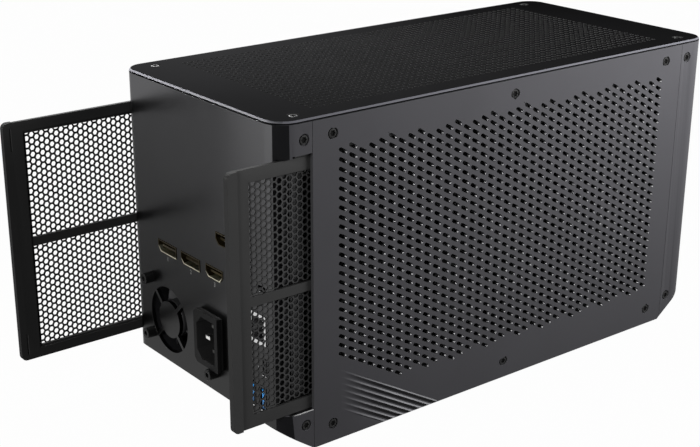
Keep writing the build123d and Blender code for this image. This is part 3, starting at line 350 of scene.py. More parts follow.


# Frame. Two long extruded bars a side, of dull aluminium, and four corner posts, painted dark as shade
# where light falls on them through the slots. The guides are thin black sheet, folded over the filters'
# edges.
def dressed(name, materials, body, edge=0.2, finish=None, crease=35.0):
    """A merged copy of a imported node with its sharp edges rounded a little, which stands for the node.
    finish gives each face's material from the faces' centres and normals."""
    mesh = nodes[name].data.copy()
    mesh.name = name + "_finished"
    mesh.materials.clear()
    for material in materials:
        mesh.materials.append(material)
    count = len(mesh.polygons)
    index = np.zeros(count, np.int32)
    if finish is not None:
        centre, normal = np.zeros(count * 3), np.zeros(count * 3)
        mesh.polygons.foreach_get("center", centre)
        mesh.polygons.foreach_get("normal", normal)
        index = finish(centre.reshape(-1, 3) / MM, normal.reshape(-1, 3)).astype(np.int32)
    mesh.polygons.foreach_set("material_index", index)
    work = bmesh.new()
    work.from_mesh(mesh)
    bmesh.ops.remove_doubles(work, verts=work.verts, dist=2e-6)
    bmesh.ops.dissolve_limit(work, angle_limit=np.radians(0.5), verts=work.verts, edges=work.edges,
                             delimit={"MATERIAL"})
    work.to_mesh(mesh)
    work.free()
    mesh.shade_smooth()
    mesh.set_sharp_from_angle(angle=np.radians(crease))
    piece = new_object(name + "_finished", mesh)
    if edge:
        bevel = piece.modifiers.new("rounded_edges", "BEVEL")
        bevel.width = edge * MM
        bevel.segments = 2
        bevel.limit_method = "ANGLE"
        bevel.angle_limit = np.radians(crease)
        bevel.harden_normals = True
    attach(piece, body)
    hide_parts(name)
    return piece


dull_metal = coated("dull_aluminium", (0.3, 0.3, 0.31), (0.3, 0.3, 0.31), 0.3, 0.5, scale=900.0, wear_and_highlight=0.0)
# The posts' near black is painted shade for what is seen through the slots.
post_painted_shade = coated("post_painted_shade", (0.05, 0.05, 0.052), (0.05, 0.05, 0.052), 0.3, 0.5, scale=900.0, wear_and_highlight=0.0)
for side_name in ("near", "far"):
    paint(dull_metal, side_name + "_upper_bar", side_name + "_lower_bar")
    paint(post_painted_shade, side_name + "_port_post", side_name + "_rear_post")
    paint(black_steel, side_name + "_filter_guide")


# Power supply. A folded and lacquered steel case on two rails, cooled by a 40 mm fan behind the grille in
# the port end. The fan is moulded glass filled plastic, its rotor glossier than its frame.
case_paint = coated("case_paint", (0.016, 0.016, 0.017), (0.08, 0.08, 0.08), 0.2, 0.45)
moulded_black = coated("moulded_black", (0.012, 0.012, 0.013), (0.03, 0.03, 0.031), 0.0, 0.5, grain=0.00003,
                       Specular_IOR_Level=0.25)
rotor_black = coated("rotor_black", (0.03, 0.03, 0.031), (0.04, 0.04, 0.042), 0.0, 0.4, grain=0.00001,
                     Specular_IOR_Level=0.1)
zinc = coated("zinc_plate", (0.3, 0.3, 0.31), (0.5, 0.5, 0.5), 0.9, 0.35, scale=700.0, cloud=0.2)
paint(zinc, "power_supply_stand")
dressed("power_supply", [case_paint], "enclosure", edge=0.6)
dressed("supply_fan_frame", [moulded_black], "enclosure", edge=0.25)
dressed("supply_fan_rotor", [rotor_black], "supply_fan", edge=0)


# Power inlet. A black thermoplastic appliance inlet, moulded with a raised flange and a cavity that has two
# of its corners cut, painted lighter inside as painted light. Three flat brass pins, nickel plated, are
# pressed in; two of them are given a darker colour.
pin_plate = coated("pin_plate", (0.85, 0.84, 0.82), (0.9, 0.9, 0.88), 1.0, 0.25, scale=600.0)
# The pair of pins is given a darker colour than the pin on its own.
darker_pin = coated("darker_pin", (0.05, 0.05, 0.048), (0.1, 0.1, 0.1), 0.6, 0.4, scale=600.0)
flange_black = coated("flange_black", (0.005, 0.005, 0.005), (0.02, 0.02, 0.02), 0.0, 0.6, grain=0.00003,
                      wear_and_highlight=0.0, Specular_IOR_Level=0.1)
# Painted light: the cavity is the flange's black plastic made lighter.
cavity_painted_light = coated("cavity_painted_light", (0.02, 0.02, 0.02), (0.02, 0.02, 0.02), 0.0, 0.6, grain=0.00003,
                      wear_and_highlight=0.0, Specular_IOR_Level=0.1)
flange_back = corners_of("power_inlet")[0][0] + 1.5
earth_edge = corners_of("inlet_pins")[1][1] - 3.0


def behind_flange(centres, normals):
    """The flange is the plain black, and what lies deeper is a lighter copy of it, painted light."""
    return np.where(centres[:, 0] > flange_back, 1, 0)


def earth_pin(centres, normals):
    """The pin on its own, at the side of the pair, is bright; the pair is given a darker colour."""
    return np.where(centres[:, 1] > earth_edge, 0, 1)


dressed("power_inlet", [flange_black, cavity_painted_light], "enclosure", edge=0.5,
        finish=behind_flange)
dressed("inlet_pins", [pin_plate, darker_pin], "enclosure", edge=0.3, finish=earth_pin)


# Boards. The graphics card is a green-black glass fibre board with its chip under the cold plate; a second
# board on edge carries the network and serial sockets. Both stand on folded trays.
board_mask = coated("board_mask", (0.008, 0.016, 0.012), (0.05, 0.06, 0.05), 0.0, 0.35, scale=1400.0,
                    cloud=0.25)
chip_black = coated("chip_black", (0.02, 0.02, 0.022), (0.06, 0.06, 0.06), 0.1, 0.35)
paint(board_mask, "card_board", "interface_board")
paint(chip_black, "graphics_chip", "card_slot")
paint(zinc, "card_tray", "board_bracket")


# Liquid cooling. A round pump stands on the cold plate; two rubber hoses lead to a radiator under the fans.
# The radiator is painted black over its fins and sits in a folded tray.
radiator_black = coated("radiator_black", (0.012, 0.012, 0.012), (0.05, 0.05, 0.05), 0.4, 0.5)
dressed("pump_block", [moulded_black], "enclosure", edge=0.4)
for side_name in ("near", "far"):
    dressed(side_name + "_coolant_hose", [rubber], "enclosure", edge=0)
paint(radiator_black, "radiator")
paint(black_steel, "radiator_tray")


# Fans. Two 120 mm fans blow up through the cover: a square frame with four struts and a hub, and a rotor of
# seven swept blades. Both are moulded in black plastic and stand on the radiator.
for end_name in ("port", "rear"):
    dressed(end_name + "_fan_frame", [moulded_black], "enclosure", edge=0.4)
    dressed(end_name + "_fan_rotor", [rotor_black], end_name + "_fan", edge=0)


# Sockets. Folded metal shells round dark plastic carriers. The display sockets' shells are gold plated, the
# serial sockets have blue tongues, and the network socket stands on its side.
gold = coated("gold_plate", (1.0, 0.92, 0.7), (1.0, 0.92, 0.7), 1.0, 0.3, scale=600.0)
nickel = coated("nickel_plate", (0.6, 0.6, 0.6), (0.75, 0.75, 0.75), 1.0, 0.25, scale=600.0)
serial_blue = coated("serial_blue", (0.02, 0.36, 1.0), (0.02, 0.36, 1.0), 0.0, 0.4)
socket_face = corners_of("port_cap")[0][0]
shell_reach, lip_reach, below_middle = 1.2, 0.2, 1.5


def shell_and_inside(centres, normals):
    """The shell, which ends at the port face or stands proud of it, is plated; the rest is plastic."""
    return np.where(centres[:, 0] < socket_face + shell_reach, 0, 1)


def lower_lip(centres, normals):
    """Only the lower lip of a display socket and the floor inside it keep the bright gold; the rest is
    painted dark as shade.
    """
    middle = (centres[:, 2].min() + centres[:, 2].max()) / 2
    floor_inside = normals[:, 2] > 0.3
    lip = (normals[:, 0] < -0.7) & (centres[:, 0] < socket_face + lip_reach)
    return np.where((floor_inside | lip) & (centres[:, 2] < middle - below_middle), 0, 1)


# Painted shade: the gold plating made dark everywhere but the lower lip and floor.
gold_painted_shade = coated("gold_painted_shade", (0.03, 0.022, 0.008), (0.1, 0.08, 0.04), 0.8, 0.4, scale=600.0)
for number in (1, 2, 3, 4):
    dressed(f"display_socket_{number}", [gold, gold_painted_shade], "enclosure", edge=0,
            finish=lower_lip)
dressed("network_socket", [nickel, moulded_black], "enclosure", edge=0,
        finish=shell_and_inside)
# Painted shade: the sockets' plated shells made dark except at their lower tips.
shell_painted_shade = coated("shell_painted_shade", (0.02, 0.02, 0.021), (0.1, 0.1, 0.1), 0.5, 0.4)


def points_of(mesh):
    """A mesh's points as rows of three, in metres."""
    points = np.zeros(len(mesh.vertices) * 3)
    mesh.vertices.foreach_get("co", points)
    return points.reshape(-1, 3)


def rim_of(name):
    """The lowest and highest corner of a socket's front rim, in millimetres."""
    points = points_of(nodes[name].data) / MM
    rim = points[points[:, 0] < points[:, 0].min() + 0.1]
    return rim.min(0), rim.max(0)


def tongue_and_tip(name, wall, reach):
    """Gives a finish: the contact tongue inside the shell has one colour, the shell's lower tip is bright
    plating, and the rest, the shell included, is painted dark as shade. wall is the shell's thickness, and
    reach how far across the tongue goes."""
    low, high = rim_of(name)
    spare = 0.05

    def finish(centres, normals):
        x, y, z = centres.T
        within = (centres > low + wall + spare) & (centres < high - wall - spare)
        tongue = within[:, 1] & within[:, 2] & (x > low[0] + 0.6) & (y < low[1] + reach + spare)
        tip = (z < low[2] + 0.9) & (x < low[0] + 1.0)
        return np.where(tongue, 0, np.where(tip, 1, 2))

    return finish


tongue_reach, tongue_depth = 2.4, 1.55
tongue_widened, tongue_moved_out = 0.9, 1.3
for usb_name in ("inner_usb_socket", "outer_usb_socket"):
    socket = dressed(usb_name, [serial_blue, nickel, shell_painted_shade], "enclosure", edge=0,
                     finish=tongue_and_tip(usb_name, 0.5, tongue_reach))
    places = points_of(socket.data) / MM
    corner = rim_of(usb_name)[0]
    places[np.abs(places[:, 1] - corner[1] - tongue_reach) < 0.02, 1] += tongue_widened
    places[np.abs(places[:, 0] - corner[0] - tongue_depth) < 0.02, 0] -= tongue_moved_out
    socket.data.vertices.foreach_set("co", (places * MM).ravel())
dressed("usb_c_socket", [moulded_black, nickel, shell_painted_shade], "enclosure", edge=0,
        finish=tongue_and_tip("usb_c_socket", 0.4, 2.05))
light_lens = coated("light_lens", (0.75, 0.76, 0.78), (0.8, 0.8, 0.8), 0.0, 0.3)
paint(light_lens, "status_light")


# End caps. Each is aluminium sheet bent round the end of the box and under its bevel, welded, blasted and
# anodised dark grey. What is cut afterwards, such as the notch for the filters' grips, shows bright metal,
# though the notch's floor is painted dark as shade except at its outer edge. On the port cap the end face
# is painted darker towards the bottom, and the upright corners carry a painted dark reflection.
grey = (0.079, 0.078, 0.085)
grey_anodised = coated("grey_anodised", grey, (0.15, 0.15, 0.16), 0.0, 0.5, grain=0.00001, scale=3200.0,
                       wear_and_highlight=1.0, Specular_IOR_Level=0.05)
end_anodised_and_shade = coated("end_anodised_and_shade", (0.115, 0.115, 0.119), (0.12, 0.12, 0.124), 1.0, 0.3, grain=0.00001,
                      scale=3200.0, wear_and_highlight=0.5, Specular_Tint=(0.6, 0.6, 0.6, 1))
# Painted dark reflection: the near black of the rounded upright corners.
corner_dark_reflection = coated("corner_dark_reflection", (0.008, 0.008, 0.009), (0.02, 0.02, 0.02), 0.0, 0.5,
                         grain=0.00001, scale=3200.0, wear_and_highlight=0.0, Specular_IOR_Level=0.05)
cut_metal_and_shade = coated("cut_aluminium_and_shade", (0.95, 0.95, 0.96), (0.95, 0.95, 0.96), 0.2, 0.4, scale=1500.0, wear_and_highlight=0.0)
end_depth, end_half_width = 2.5, 66.0
corner_front, corner_half_width = -142.6, 64.3
notch_front, notch_back, notch_half_width, notch_spare = -143.5, -130.0, 62.0, 2.5
notch_bottom = corners_of("near_filter_frame")[0][2]


def faded_in(material, start, end, first=grey, axis="X"):
    """Lets a material begin as another colour at one distance from the object's middle and be itself at
    another, along one axis. Distances along Y count the same way to both sides."""
    tree = material.node_tree
    link = tree.links.new
    colour = tree.nodes["Principled BSDF"].inputs["Base Color"]
    place = tree.nodes.new("ShaderNodeTexCoord")
    split = tree.nodes.new("ShaderNodeSeparateXYZ")
    share = tree.nodes.new("ShaderNodeMapRange")
    share.inputs["From Min"].default_value = start * MM
    share.inputs["From Max"].default_value = end * MM
    blend = tree.nodes.new("ShaderNodeMix")
    blend.data_type = "RGBA"
    blend.inputs[6].default_value = (*first, 1)
    link(place.outputs["Object"], split.inputs[0])
    if axis == "Y":
        size = math_node(tree, "ABSOLUTE")
        link(split.outputs["Y"], size.inputs[0])
        link(size.outputs[0], share.inputs["Value"])
    else:
        link(split.outputs[axis], share.inputs["Value"])
    link(share.outputs[0], blend.inputs[0])
    link(colour.links[0].from_socket, blend.inputs[7])
    link(blend.outputs[2], colour)


# Painted shade: the end face's colour darkens towards the bottom.
faded_in(end_anodised_and_shade, 40.0, 168.0, (0.044, 0.044, 0.044), "Z")
# Painted shade: the notch's cut metal is dark inside its outer edge and towards the dark corner.
faded_in(cut_metal_and_shade, 69.2, 69.4, (0.004, 0.004, 0.004), "Y")
faded_in(cut_metal_and_shade, -142.8, -142.4, (0.01, 0.01, 0.01))


def cap_finish(centres, normals):
    """The sides are matt and the end face is glossier. The upright corners carry a painted dark reflection,
    and the notch's lower wall in each side is cut metal, painted dark as shade except at its outer edge."""
    x, y, z = centres[:, 0], np.abs(centres[:, 1]), centres[:, 2]
    end_face = (x < socket_face + end_depth) & (y < end_half_width)
    upright = (np.abs(normals[:, 2]) < 0.3) & (normals[:, 0] > -0.97)
    corner = (x < corner_front) & (y > corner_half_width) & upright
    level = (np.abs(z - notch_bottom) < notch_spare) & (normals[:, 2] > 0.7)
    notch_floor = (x > notch_front) & (x < notch_back) & (y > notch_half_width) & level
    return np.where(notch_floor, 1, np.where(corner, 3, np.where(end_face, 2, 0)))


dressed("port_cap", [grey_anodised, cut_metal_and_shade, end_anodised_and_shade, corner_dark_reflection], "enclosure",
        edge=0.15, finish=cap_finish)
dressed("rear_cap", [grey_anodised], "enclosure", edge=0.15)


# Screws. Black button and pan heads with a six lobed recess hold the panels, the caps and the cover; taller
# socket heads hold the power supply behind the port end.
screw_black = coated("screw_black", (0.022, 0.022, 0.022), (0.1, 0.1, 0.1), 0.0, 0.45, wear_and_highlight=2.0,
                     Specular_IOR_Level=0.15)
# Painted shade: the recess and the head's side, darker than the head.
recess_painted_shade = coated("recess_painted_shade", (0.003, 0.003, 0.003), (0.003, 0.003, 0.003), 0.0, 0.7, wear_and_highlight=0.0,
                      Specular_IOR_Level=0.1)


def screw_shape(radius, depth, recess):
    """A low head, rounded at its rim and a little below the sheet, with a recess whose wall waves six times
    round. Also gives the faces of the recess and of the head's side, which are painted black as shade."""
    rows = [(0.0, -depth), (radius, -depth), (radius, -0.55), (radius - 0.1, -0.35), (radius - 0.45, -0.25),
            (recess * 1.12, -0.25), (recess, -0.4), (recess * 0.96, -0.9), (0.0, -0.95)]
    around, lobes, lobe_depth = 48, 6, 0.16
    wave = np.zeros((len(rows), 1))
    wave[5:8] = lobe_depth
    points, faces = turned(rows[::-1], around, lambda angle: 1 + wave[::-1] * np.cos(lobes * angle))
    dark = np.repeat(np.array((1, 1, 1, 0, 0, 0, 1, 1)), around)
    return points, faces, dark


def set_in(points, origin, normal):
    """Moves points made about +Z so that +Z becomes the outward direction at an origin."""
    across = np.array((1.0, 0.0, 0.0))
    return np.asarray(origin, float) + points @ np.stack((across, np.cross(normal, across), normal))


def add_screws(name, places, normals, head=2.25, depth=1.1, recess=1.3):
    """All the screws of one node as one piece, each with its place and the direction that it faces."""
    shape, faces, dark = screw_shape(head, depth, recess)
    points = np.concatenate([set_in(shape, place, normal) for place, normal in zip(places, normals)])
    every = np.concatenate([faces + i * len(shape) for i in range(len(places))])
    add_piece(name + "_heads", points, every, [screw_black, recess_painted_shade], "enclosure",
              [name], finish=np.tile(dark, len(places)))


half_width = -corners_of("near_side_panel")[0][1]
cover_top = corners_of("top_cover")[1][2]
panel_screw_x, panel_screw_z = (-118.5, -1.4, 115.6), (13.5, 163.5)
cap_screw_x, cap_screw_z = {"port": -135.0, "rear": 133.5}, (17.7, 163.2)
cover_screw_place = np.array((134.8, 61.3))
for side_name, sign in (("near", -1), ("far", 1)):
    places = [(x, sign * half_width, z) for x in panel_screw_x for z in panel_screw_z]
    add_screws(side_name + "_panel_screws", places, [(0, sign, 0)] * len(places))
for end_name, x in cap_screw_x.items():
    add_screws(end_name + "_cap_screws", [(x, sign * half_width, z) for sign in (-1, 1) for z in cap_screw_z],
               [(0, sign, 0) for sign in (-1, 1) for _ in cap_screw_z])
add_screws("cover_screws", [(*cover_screw_place * (x, y), cover_top) for x in (-1, 1) for y in (-1, 1)],
           [(0, 0, 1)] * 4)
socket_screw = coated("socket_screw", (0.006, 0.006, 0.006), (0.25, 0.25, 0.25), 0.0, 0.4, wear_and_highlight=3.0,
                      Specular_IOR_Level=0.1)
dressed("supply_screws", [socket_screw], "enclosure", edge=0.2)


# Side panels. Flat aluminium sheets, anodised dark grey, laser cut with rows of short slots that slant down
# to the rear, and milled with six flutes in the lower front corner, whose two sides carry a painted shade
# and a painted light. The cut wall at a slot's lower end carries a painted highlight.
def ring(inner, outer):
    """Triangles between each hole's rim and the outline round it, both with the same number of points."""
    cells, count = inner.shape[:2]
    points = np.concatenate((inner, outer), 1).reshape(-1, 2)
    here = np.arange(count)
    after = (here + 1) % count
    pattern = np.concatenate((np.stack((count + here, count + after, after), 1),
                              np.stack((count + here, after, here), 1)))
    start = np.arange(cells)[:, None, None] * 2 * count
    rims = np.arange(cells)[:, None] * 2 * count + here
    return points, (pattern + start).reshape(-1, 3), rims


def outline_of(corners, steps):
    """Points along a closed outline of straight sides, steps to a side."""
    corners = np.asarray(corners, float)
    share = np.arange(steps)[None, :, None] / steps
    return (corners[:, None] * (1 - share) + np.roll(corners, -1, 0)[:, None] * share).reshape(-1, 2)


def round_hole(outline, centre, radius):
    """A round hole in an outline: its rim has a point in the direction of each point of the outline."""
    away = outline - centre
    rim = centre + radius * away / np.linalg.norm(away, axis=1, keepdims=True)
    return ring(rim[None], outline[None])


def through(patches, thickness, back=0):
    """A sheet from flat patches of (points, triangles, rims): the front, the back the other way round, and
    a wall inside each rim. Points come out as (across, up, depth). A patch may add marks for its front, and
    then the steps of a rim that carry a painted highlight. Marks give the finish: other fronts have nought,
    walls one, walls with a painted highlight two, and the back the one it is given."""
    points, faces, marks, start = [], [], [], 0
    for flat, triangles, rims, *more in patches:
        depth = flat[:, 2:] if flat.shape[1] == 3 else np.zeros((len(flat), 1))
        count = len(flat)
        points += [np.hstack((flat[:, :2], depth)), np.hstack((flat[:, :2], np.full((count, 1), thickness)))]
        after = np.roll(rims, -1, 1)
        wall = np.concatenate((np.stack((rims, after, after + count), -1).reshape(-1, 3),
                               np.stack((rims, after + count, rims + count), -1).reshape(-1, 3)))
        front = more[0] if more else 0
        walls = np.tile(1 + np.isin(np.arange(rims.shape[1]), more[1:]), 2 * len(rims))
        for part, mark in ((triangles, front), (triangles[:, ::-1] + count, back), (wall, walls)):
            faces.append(part + start)
            marks.append(np.full(len(part), mark) if np.isscalar(mark) else mark)
        start += 2 * count
    return np.concatenate(points), np.concatenate(faces), np.concatenate(marks)


slot_wall = coated("slot_wall", (0.06, 0.06, 0.063), (0.05, 0.05, 0.05), 0.0, 0.6, wear_and_highlight=0.0,
                   Specular_IOR_Level=0.1)
# Painted highlight: the lower end wall of each slot is near white near its outer edge.
slot_painted_glint = coated("slot_painted_glint", (0.9, 0.9, 0.92), (0.9, 0.9, 0.92), 0.0, 0.5, wear_and_highlight=0.0,
                    Specular_IOR_Level=0.2)
faded_in(slot_painted_glint, half_width - 1.2, half_width - 1.05, (0.06, 0.06, 0.063), "Y")
# Painted shade and painted light on the two sides of each flute, fading to the plain grey at the front.
groove_shade = coated("groove_shade", (0.015, 0.015, 0.016), (0.02, 0.02, 0.02), 0.0, 0.6, wear_and_highlight=0.0,
                      Specular_IOR_Level=0.05)
faded_in(groove_shade, -112.0, -90.0)
groove_light = coated("groove_light", (0.38, 0.38, 0.4), (0.38, 0.38, 0.4), 0.0, 0.5, wear_and_highlight=0.0,
                      Specular_IOR_Level=0.1)
faded_in(groove_light, -112.0, -78.0)
panel_low, panel_high = corners_of("near_side_panel")
panel_sheet = panel_high[1] - panel_low[1]
step_across, step_down, step_up = 6.04, 3.48, 4.75
slope = step_down / step_across
slot_length, slot_width, slot_tilt = 5.4, 2.0, np.radians(30)
first_slot, slot_columns = np.array((-112.8, 154.2)), 38
slots_start = first_slot[0] - step_across / 2
lowest_slot, highest_slot, lowest_in_corner = 26.64, 155.88, 49.5
strip_top, strip_bottom = 158.0, 20.0
screw_hole, blocks_meet = 3.05, (-60.0, 57.0)
corner_cut = (1.4, 1.05)
groove_columns, groove_start, groove_top = 11, -113.5, 45.9
groove_end = slots_start + groove_columns * step_across
flutes, flute_depth, first_ridge, ridge_step = 6, 0.6, 19.55, 0.9934 * step_down
no_rims = np.zeros((0, 4), int)
square = np.array(((0, 1, 2), (0, 2, 3)))


def slot_rim():
    """A slanted slot: two half circles, six points each, about the ends of a short line."""
    radius = slot_width / 2
    turn = np.radians(np.arange(-90, 91, 36))
    right = np.stack((slot_length / 2 - radius + radius * np.cos(turn), radius * np.sin(turn)), 1)
    loop = np.concatenate((right, -right))
    cosine, sine = np.cos(-slot_tilt), np.sin(-slot_tilt)
    return loop @ np.array(((cosine, sine), (-sine, cosine)))


def groove_line(x):
    """Height of the slanted line above which the slots begin in the lower front corner."""
    return groove_top - slope * (x - first_slot[0])


def slot_field():
    """Slanted cells in upright columns, each lower than the last, with a slot in each cell. A column's end
    cells reach to the strips above and below, or to the slanted line where the grooves begin."""
    column, row = (a.ravel() for a in np.meshgrid(np.arange(slot_columns), np.arange(-31, 32), indexing="ij"))
    centre = first_slot + np.stack((column * step_across, row * step_up - column * step_down), 1)
    height = centre[:, 1]
    clear_of_grooves = (column > 6) | (height >= lowest_in_corner - step_down * column)
    opened = (height >= lowest_slot) & (height <= highest_slot) & clear_of_grooves
    column, centre = column[opened], centre[opened]
    aside, up = np.array((step_across, -step_down)) / 2, np.array((0, step_up)) / 2
    cell = np.roll(outline_of((-aside - up, aside - up, aside + up, up - aside), 3), -2, axis=0)
    outer = centre[:, None] + cell
    change = column[1:] != column[:-1]
    top = np.flatnonzero(np.append(change, True))[:, None]
    bottom = np.flatnonzero(np.insert(change, 0, True))[:, None]
    upper, lower = [4, 5, 6, 7], [10, 11, 0, 1]
    outer[top, upper, 1] = strip_top
    outer[bottom, lower, 1] = np.where(column[bottom] < groove_columns, groove_line(outer[bottom, lower, 0]),
                                       strip_bottom)
    return *ring(centre[:, None] + slot_rim(), outer), 0, (2,)


def groove_patch():
    """Six concave flutes between seven ridges that run down at the slots' slant, all fading out towards the
    panel's front edge. A flute's depth is a parabola; a ramp leads to the first ridge and another one away
    from the last. Marks three and four are the painted shade and the painted light on a flute's two sides."""
    ridge = first_ridge + ridge_step * np.arange(flutes + 1)
    share = np.array((0.0, 0.1, 0.25, 0.45, 0.65, 0.83))
    inside = (ridge[:-1, None] + share * ridge_step).ravel()
    dip = np.tile(4 * share * (1 - share), flutes)
    ramp_in, ramp_out = (-40.0, 17.6, 18.9), (41.25, 41.3, groove_top)
    level = np.concatenate((ramp_in, inside, ridge[-1:], ramp_out))
    depth = np.concatenate(((0.0, 0.0, 0.45), dip, (0.0, 0.5, 0.0, 0.0)))
    marks = np.concatenate(((0, 0, 3), np.tile((4, 4, 0, 3, 3, 3), flutes), (4, 3, 0)))
    x = np.linspace(groove_start, groove_end, 33)
    z = np.maximum(level[:, None] - slope * (x - first_slot[0]), panel_low[2])
    fade_start, fade_length = -111.5, 12.0
    fade = np.clip((x - fade_start) / fade_length, 0, 1)
    sunk = depth[:, None] * fade * flute_depth * (z > panel_low[2] + 0.01)
    points = np.stack((np.broadcast_to(x, z.shape), z, sunk), -1).reshape(-1, 3)
    quads = grid_faces(len(level), len(x), closed=False)[:, ::-1]
    marks = np.tile(np.repeat(marks, len(x) - 1), 2)
    return points, np.concatenate((quads[:, [0, 1, 2]], quads[:, [0, 2, 3]])), no_rims, marks


def panel_patches():
    """The slot field, the grooves, the strips with the screws above and below, and the sheet's rim."""
    patches = [slot_field(), groove_patch()]
    left, right, low, high = panel_low[0], panel_high[0], panel_low[2], panel_high[2]
    first_meet, second_meet = blocks_meet
    starts, ends = (left, first_meet, second_meet), (first_meet, second_meet, right)
    for screw_x, x0, x1 in zip(panel_screw_x, starts, ends):
        outline = outline_of(((x0, strip_top), (x1, strip_top), (x1, high), (x0, high)), 8)
        patches.append(round_hole(outline, np.array((screw_x, panel_screw_z[1])), screw_hole))
    starts, ends = (left, groove_end, second_meet), (groove_start, second_meet, right)
    for screw_x, x0, x1 in zip(panel_screw_x, starts, ends):
        run, rise = corner_cut if x1 == right else (0.0, 0.0)
        outline = outline_of(((x0, low), (x1 - run, low), (x1, low + rise), (x1, strip_bottom),
                              (x0, strip_bottom)), 6)
        patches.append(round_hole(outline, np.array((screw_x, panel_screw_z[0])), screw_hole))
    end = slots_start + slot_columns * step_across
    plain = np.array(((left, strip_bottom), (groove_start, strip_bottom),
                      (groove_start, groove_line(groove_start)), (slots_start, groove_line(slots_start)),
                      (slots_start, strip_top), (left, strip_top)))
    patches.append((plain, np.array(((0, 1, 2), (0, 2, 3), (0, 3, 4), (0, 4, 5))), no_rims))
    plain = np.array(((end, strip_bottom), (right, strip_bottom), (right, strip_top), (end, strip_top)))
    patches.append((plain, square, no_rims))
    run, rise = corner_cut
    rim = np.array(((left, low), (left, high), (right, high), (right, low + rise), (right - run, low)))
    patches.append((rim, np.zeros((0, 3), int), np.arange(5)[None]))
    return patches


flat_points, panel_faces, panel_marks = through(panel_patches(), panel_sheet)
along, up, depth = flat_points.T
for side_name, sign in (("near", -1), ("far", 1)):
    panel_points = np.stack((along, sign * (half_width - depth), up), 1)
    add_piece(side_name + "_panel_sheet", panel_points, panel_faces[:, ::-sign],
              [grey_anodised, slot_wall, slot_painted_glint, groove_shade, groove_light], "enclosure",
              [side_name + "_side_panel"], finish=panel_marks)


# Dust filters. Each is a moulded black frame, its grip end and edges raised in a rim, with a painted shade
# on the side that looks into the box and on its faces that look up. A steel sheet, etched through in close
# hexagons, fills its two windows.
filter_black = coated("filter_black", (0.07, 0.07, 0.07), (0.07, 0.07, 0.07), 0.0, 0.6, grain=0.00003,
                      wear_and_highlight=0.0, Specular_IOR_Level=0.0)
# Painted shade: the frame's inner side and upward faces.
filter_painted_shade = coated("filter_painted_shade", (0.034, 0.034, 0.034), (0.034, 0.034, 0.034), 0.0, 0.6, grain=0.00003,
                       wear_and_highlight=0.0, Specular_IOR_Level=0.0)
mesh_black = coated("mesh_black", (0.085, 0.085, 0.086), (0.085, 0.085, 0.086), 0.0, 0.5, wear_and_highlight=0.0,
                    Specular_IOR_Level=0.0)
mesh_wall = coated("mesh_wall", (0.01, 0.01, 0.01), (0.01, 0.01, 0.01), 0.0, 0.5, wear_and_highlight=0.0,
                   Specular_IOR_Level=0.0)


def hexagon_sheet(x0, x1, z0, z1, across, upright, web):
    """Upright columns of hexagons, every other column half a step higher, cut off at the window's edges."""
    columns = int((x1 - x0) / across) + 3
    rows = int((z1 - z0) / upright) + 3
    column, row = (a.ravel() for a in np.meshgrid(np.arange(columns), np.arange(rows), indexing="ij"))
    centre = np.stack((x0 + (column - 0.5) * across, z0 + (row - 0.5 + 0.5 * (column % 2)) * upright), 1)
    side = np.array(((-2 / 3, 0), (-1 / 3, -0.5), (1 / 3, -0.5), (2 / 3, 0), (1 / 3, 0.5), (-1 / 3, 0.5)))
    outer = side * (across, upright)
    inner = outer * (1 - web / upright)
    low, high = np.array((x0, z0)), np.array((x1, z1))
    return ring(np.clip(centre[:, None] + inner, low, high), np.clip(centre[:, None] + outer, low, high))


def inner_side(sign):
    """Gives a finish: the side that looks into the box and the edges that look up are painted darker as
    shade.
    """
    def finish(centres, normals):
        return np.where((normals[:, 1] * sign < -0.3) | (normals[:, 2] > 0.4), 1, 0)

    return finish


filter_windows = ((32.5, 87.9), (92.9, 148.2))
hexagon_height, sheet_margin = 3.49, 0.3
for side_name, sign, across, web in (("near", -1, 2.88, 0.8), ("far", 1, 2.73, 0.9)):
    low, high = corners_of(side_name + "_filter_mesh")
    left, right = low[0] + sheet_margin, high[0] - sheet_margin
    sheets = [hexagon_sheet(left, right, z0, z1, across, hexagon_height, web) for z0, z1 in filter_windows]
    flat_points, sheet_faces, sheet_marks = through(sheets, high[1] - low[1], 1)
    along, up, depth = flat_points.T
    outer_face = low[1] if sign < 0 else high[1]
    sheet_points = np.stack((along, outer_face - sign * depth, up), 1)
    add_piece(side_name + "_hexagon_sheet", sheet_points, sheet_faces[:, ::-sign], [mesh_black, mesh_wall],
              side_name + "_filter", [side_name + "_filter_mesh"], finish=sheet_marks)
    dressed(side_name + "_filter_frame", [filter_black, filter_painted_shade], side_name + "_filter",
            edge=0.12, finish=inner_side(sign))


# Top cover. A thin aluminium plate, anodised black and then chamfered, so that its edge is bright all
# round, though over the sockets it is painted darker as shade. Its middle is punched with close round holes
# over the fans, and a screw holds each corner.
black_anodised = coated("black_anodised", (0.0048, 0.0048, 0.005), (0.03, 0.03, 0.03), 0.0, 0.55,
                        grain=0.00001, scale=3200.0, wear_and_highlight=0.0, Specular_IOR_Level=0.0)
punched_wall = coated("punched_wall", (0.02, 0.02, 0.02), (0.02, 0.02, 0.02), 0.2, 0.5, wear_and_highlight=0.0)
chamfer_metal = coated("chamfer_metal", (0.15, 0.15, 0.17), (0.15, 0.15, 0.17), 0.0, 0.5, scale=1500.0,
                       wear_and_highlight=0.0, Specular_IOR_Level=0.05)
# Painted shade: a darker copy of the chamfer for the socket end.
chamfer_painted_shade = coated("chamfer_painted_shade", (0.09, 0.09, 0.1), (0.09, 0.09, 0.1), 0.0, 0.5, scale=1500.0, wear_and_highlight=0.0,
                     Specular_IOR_Level=0.05)
cover_low, cover_high = corners_of("top_cover")
hole_pitch, hole_radius = 4.0, 1.25
field_x, field_y, block_y = 122.0, 58.0, 41.0
chamfer, corner_radius, corner_points = 0.8, 11.0, 16
cover_screw_hole = 3.0
corner_signs = ((1, 1), (-1, 1), (-1, -1), (1, -1))


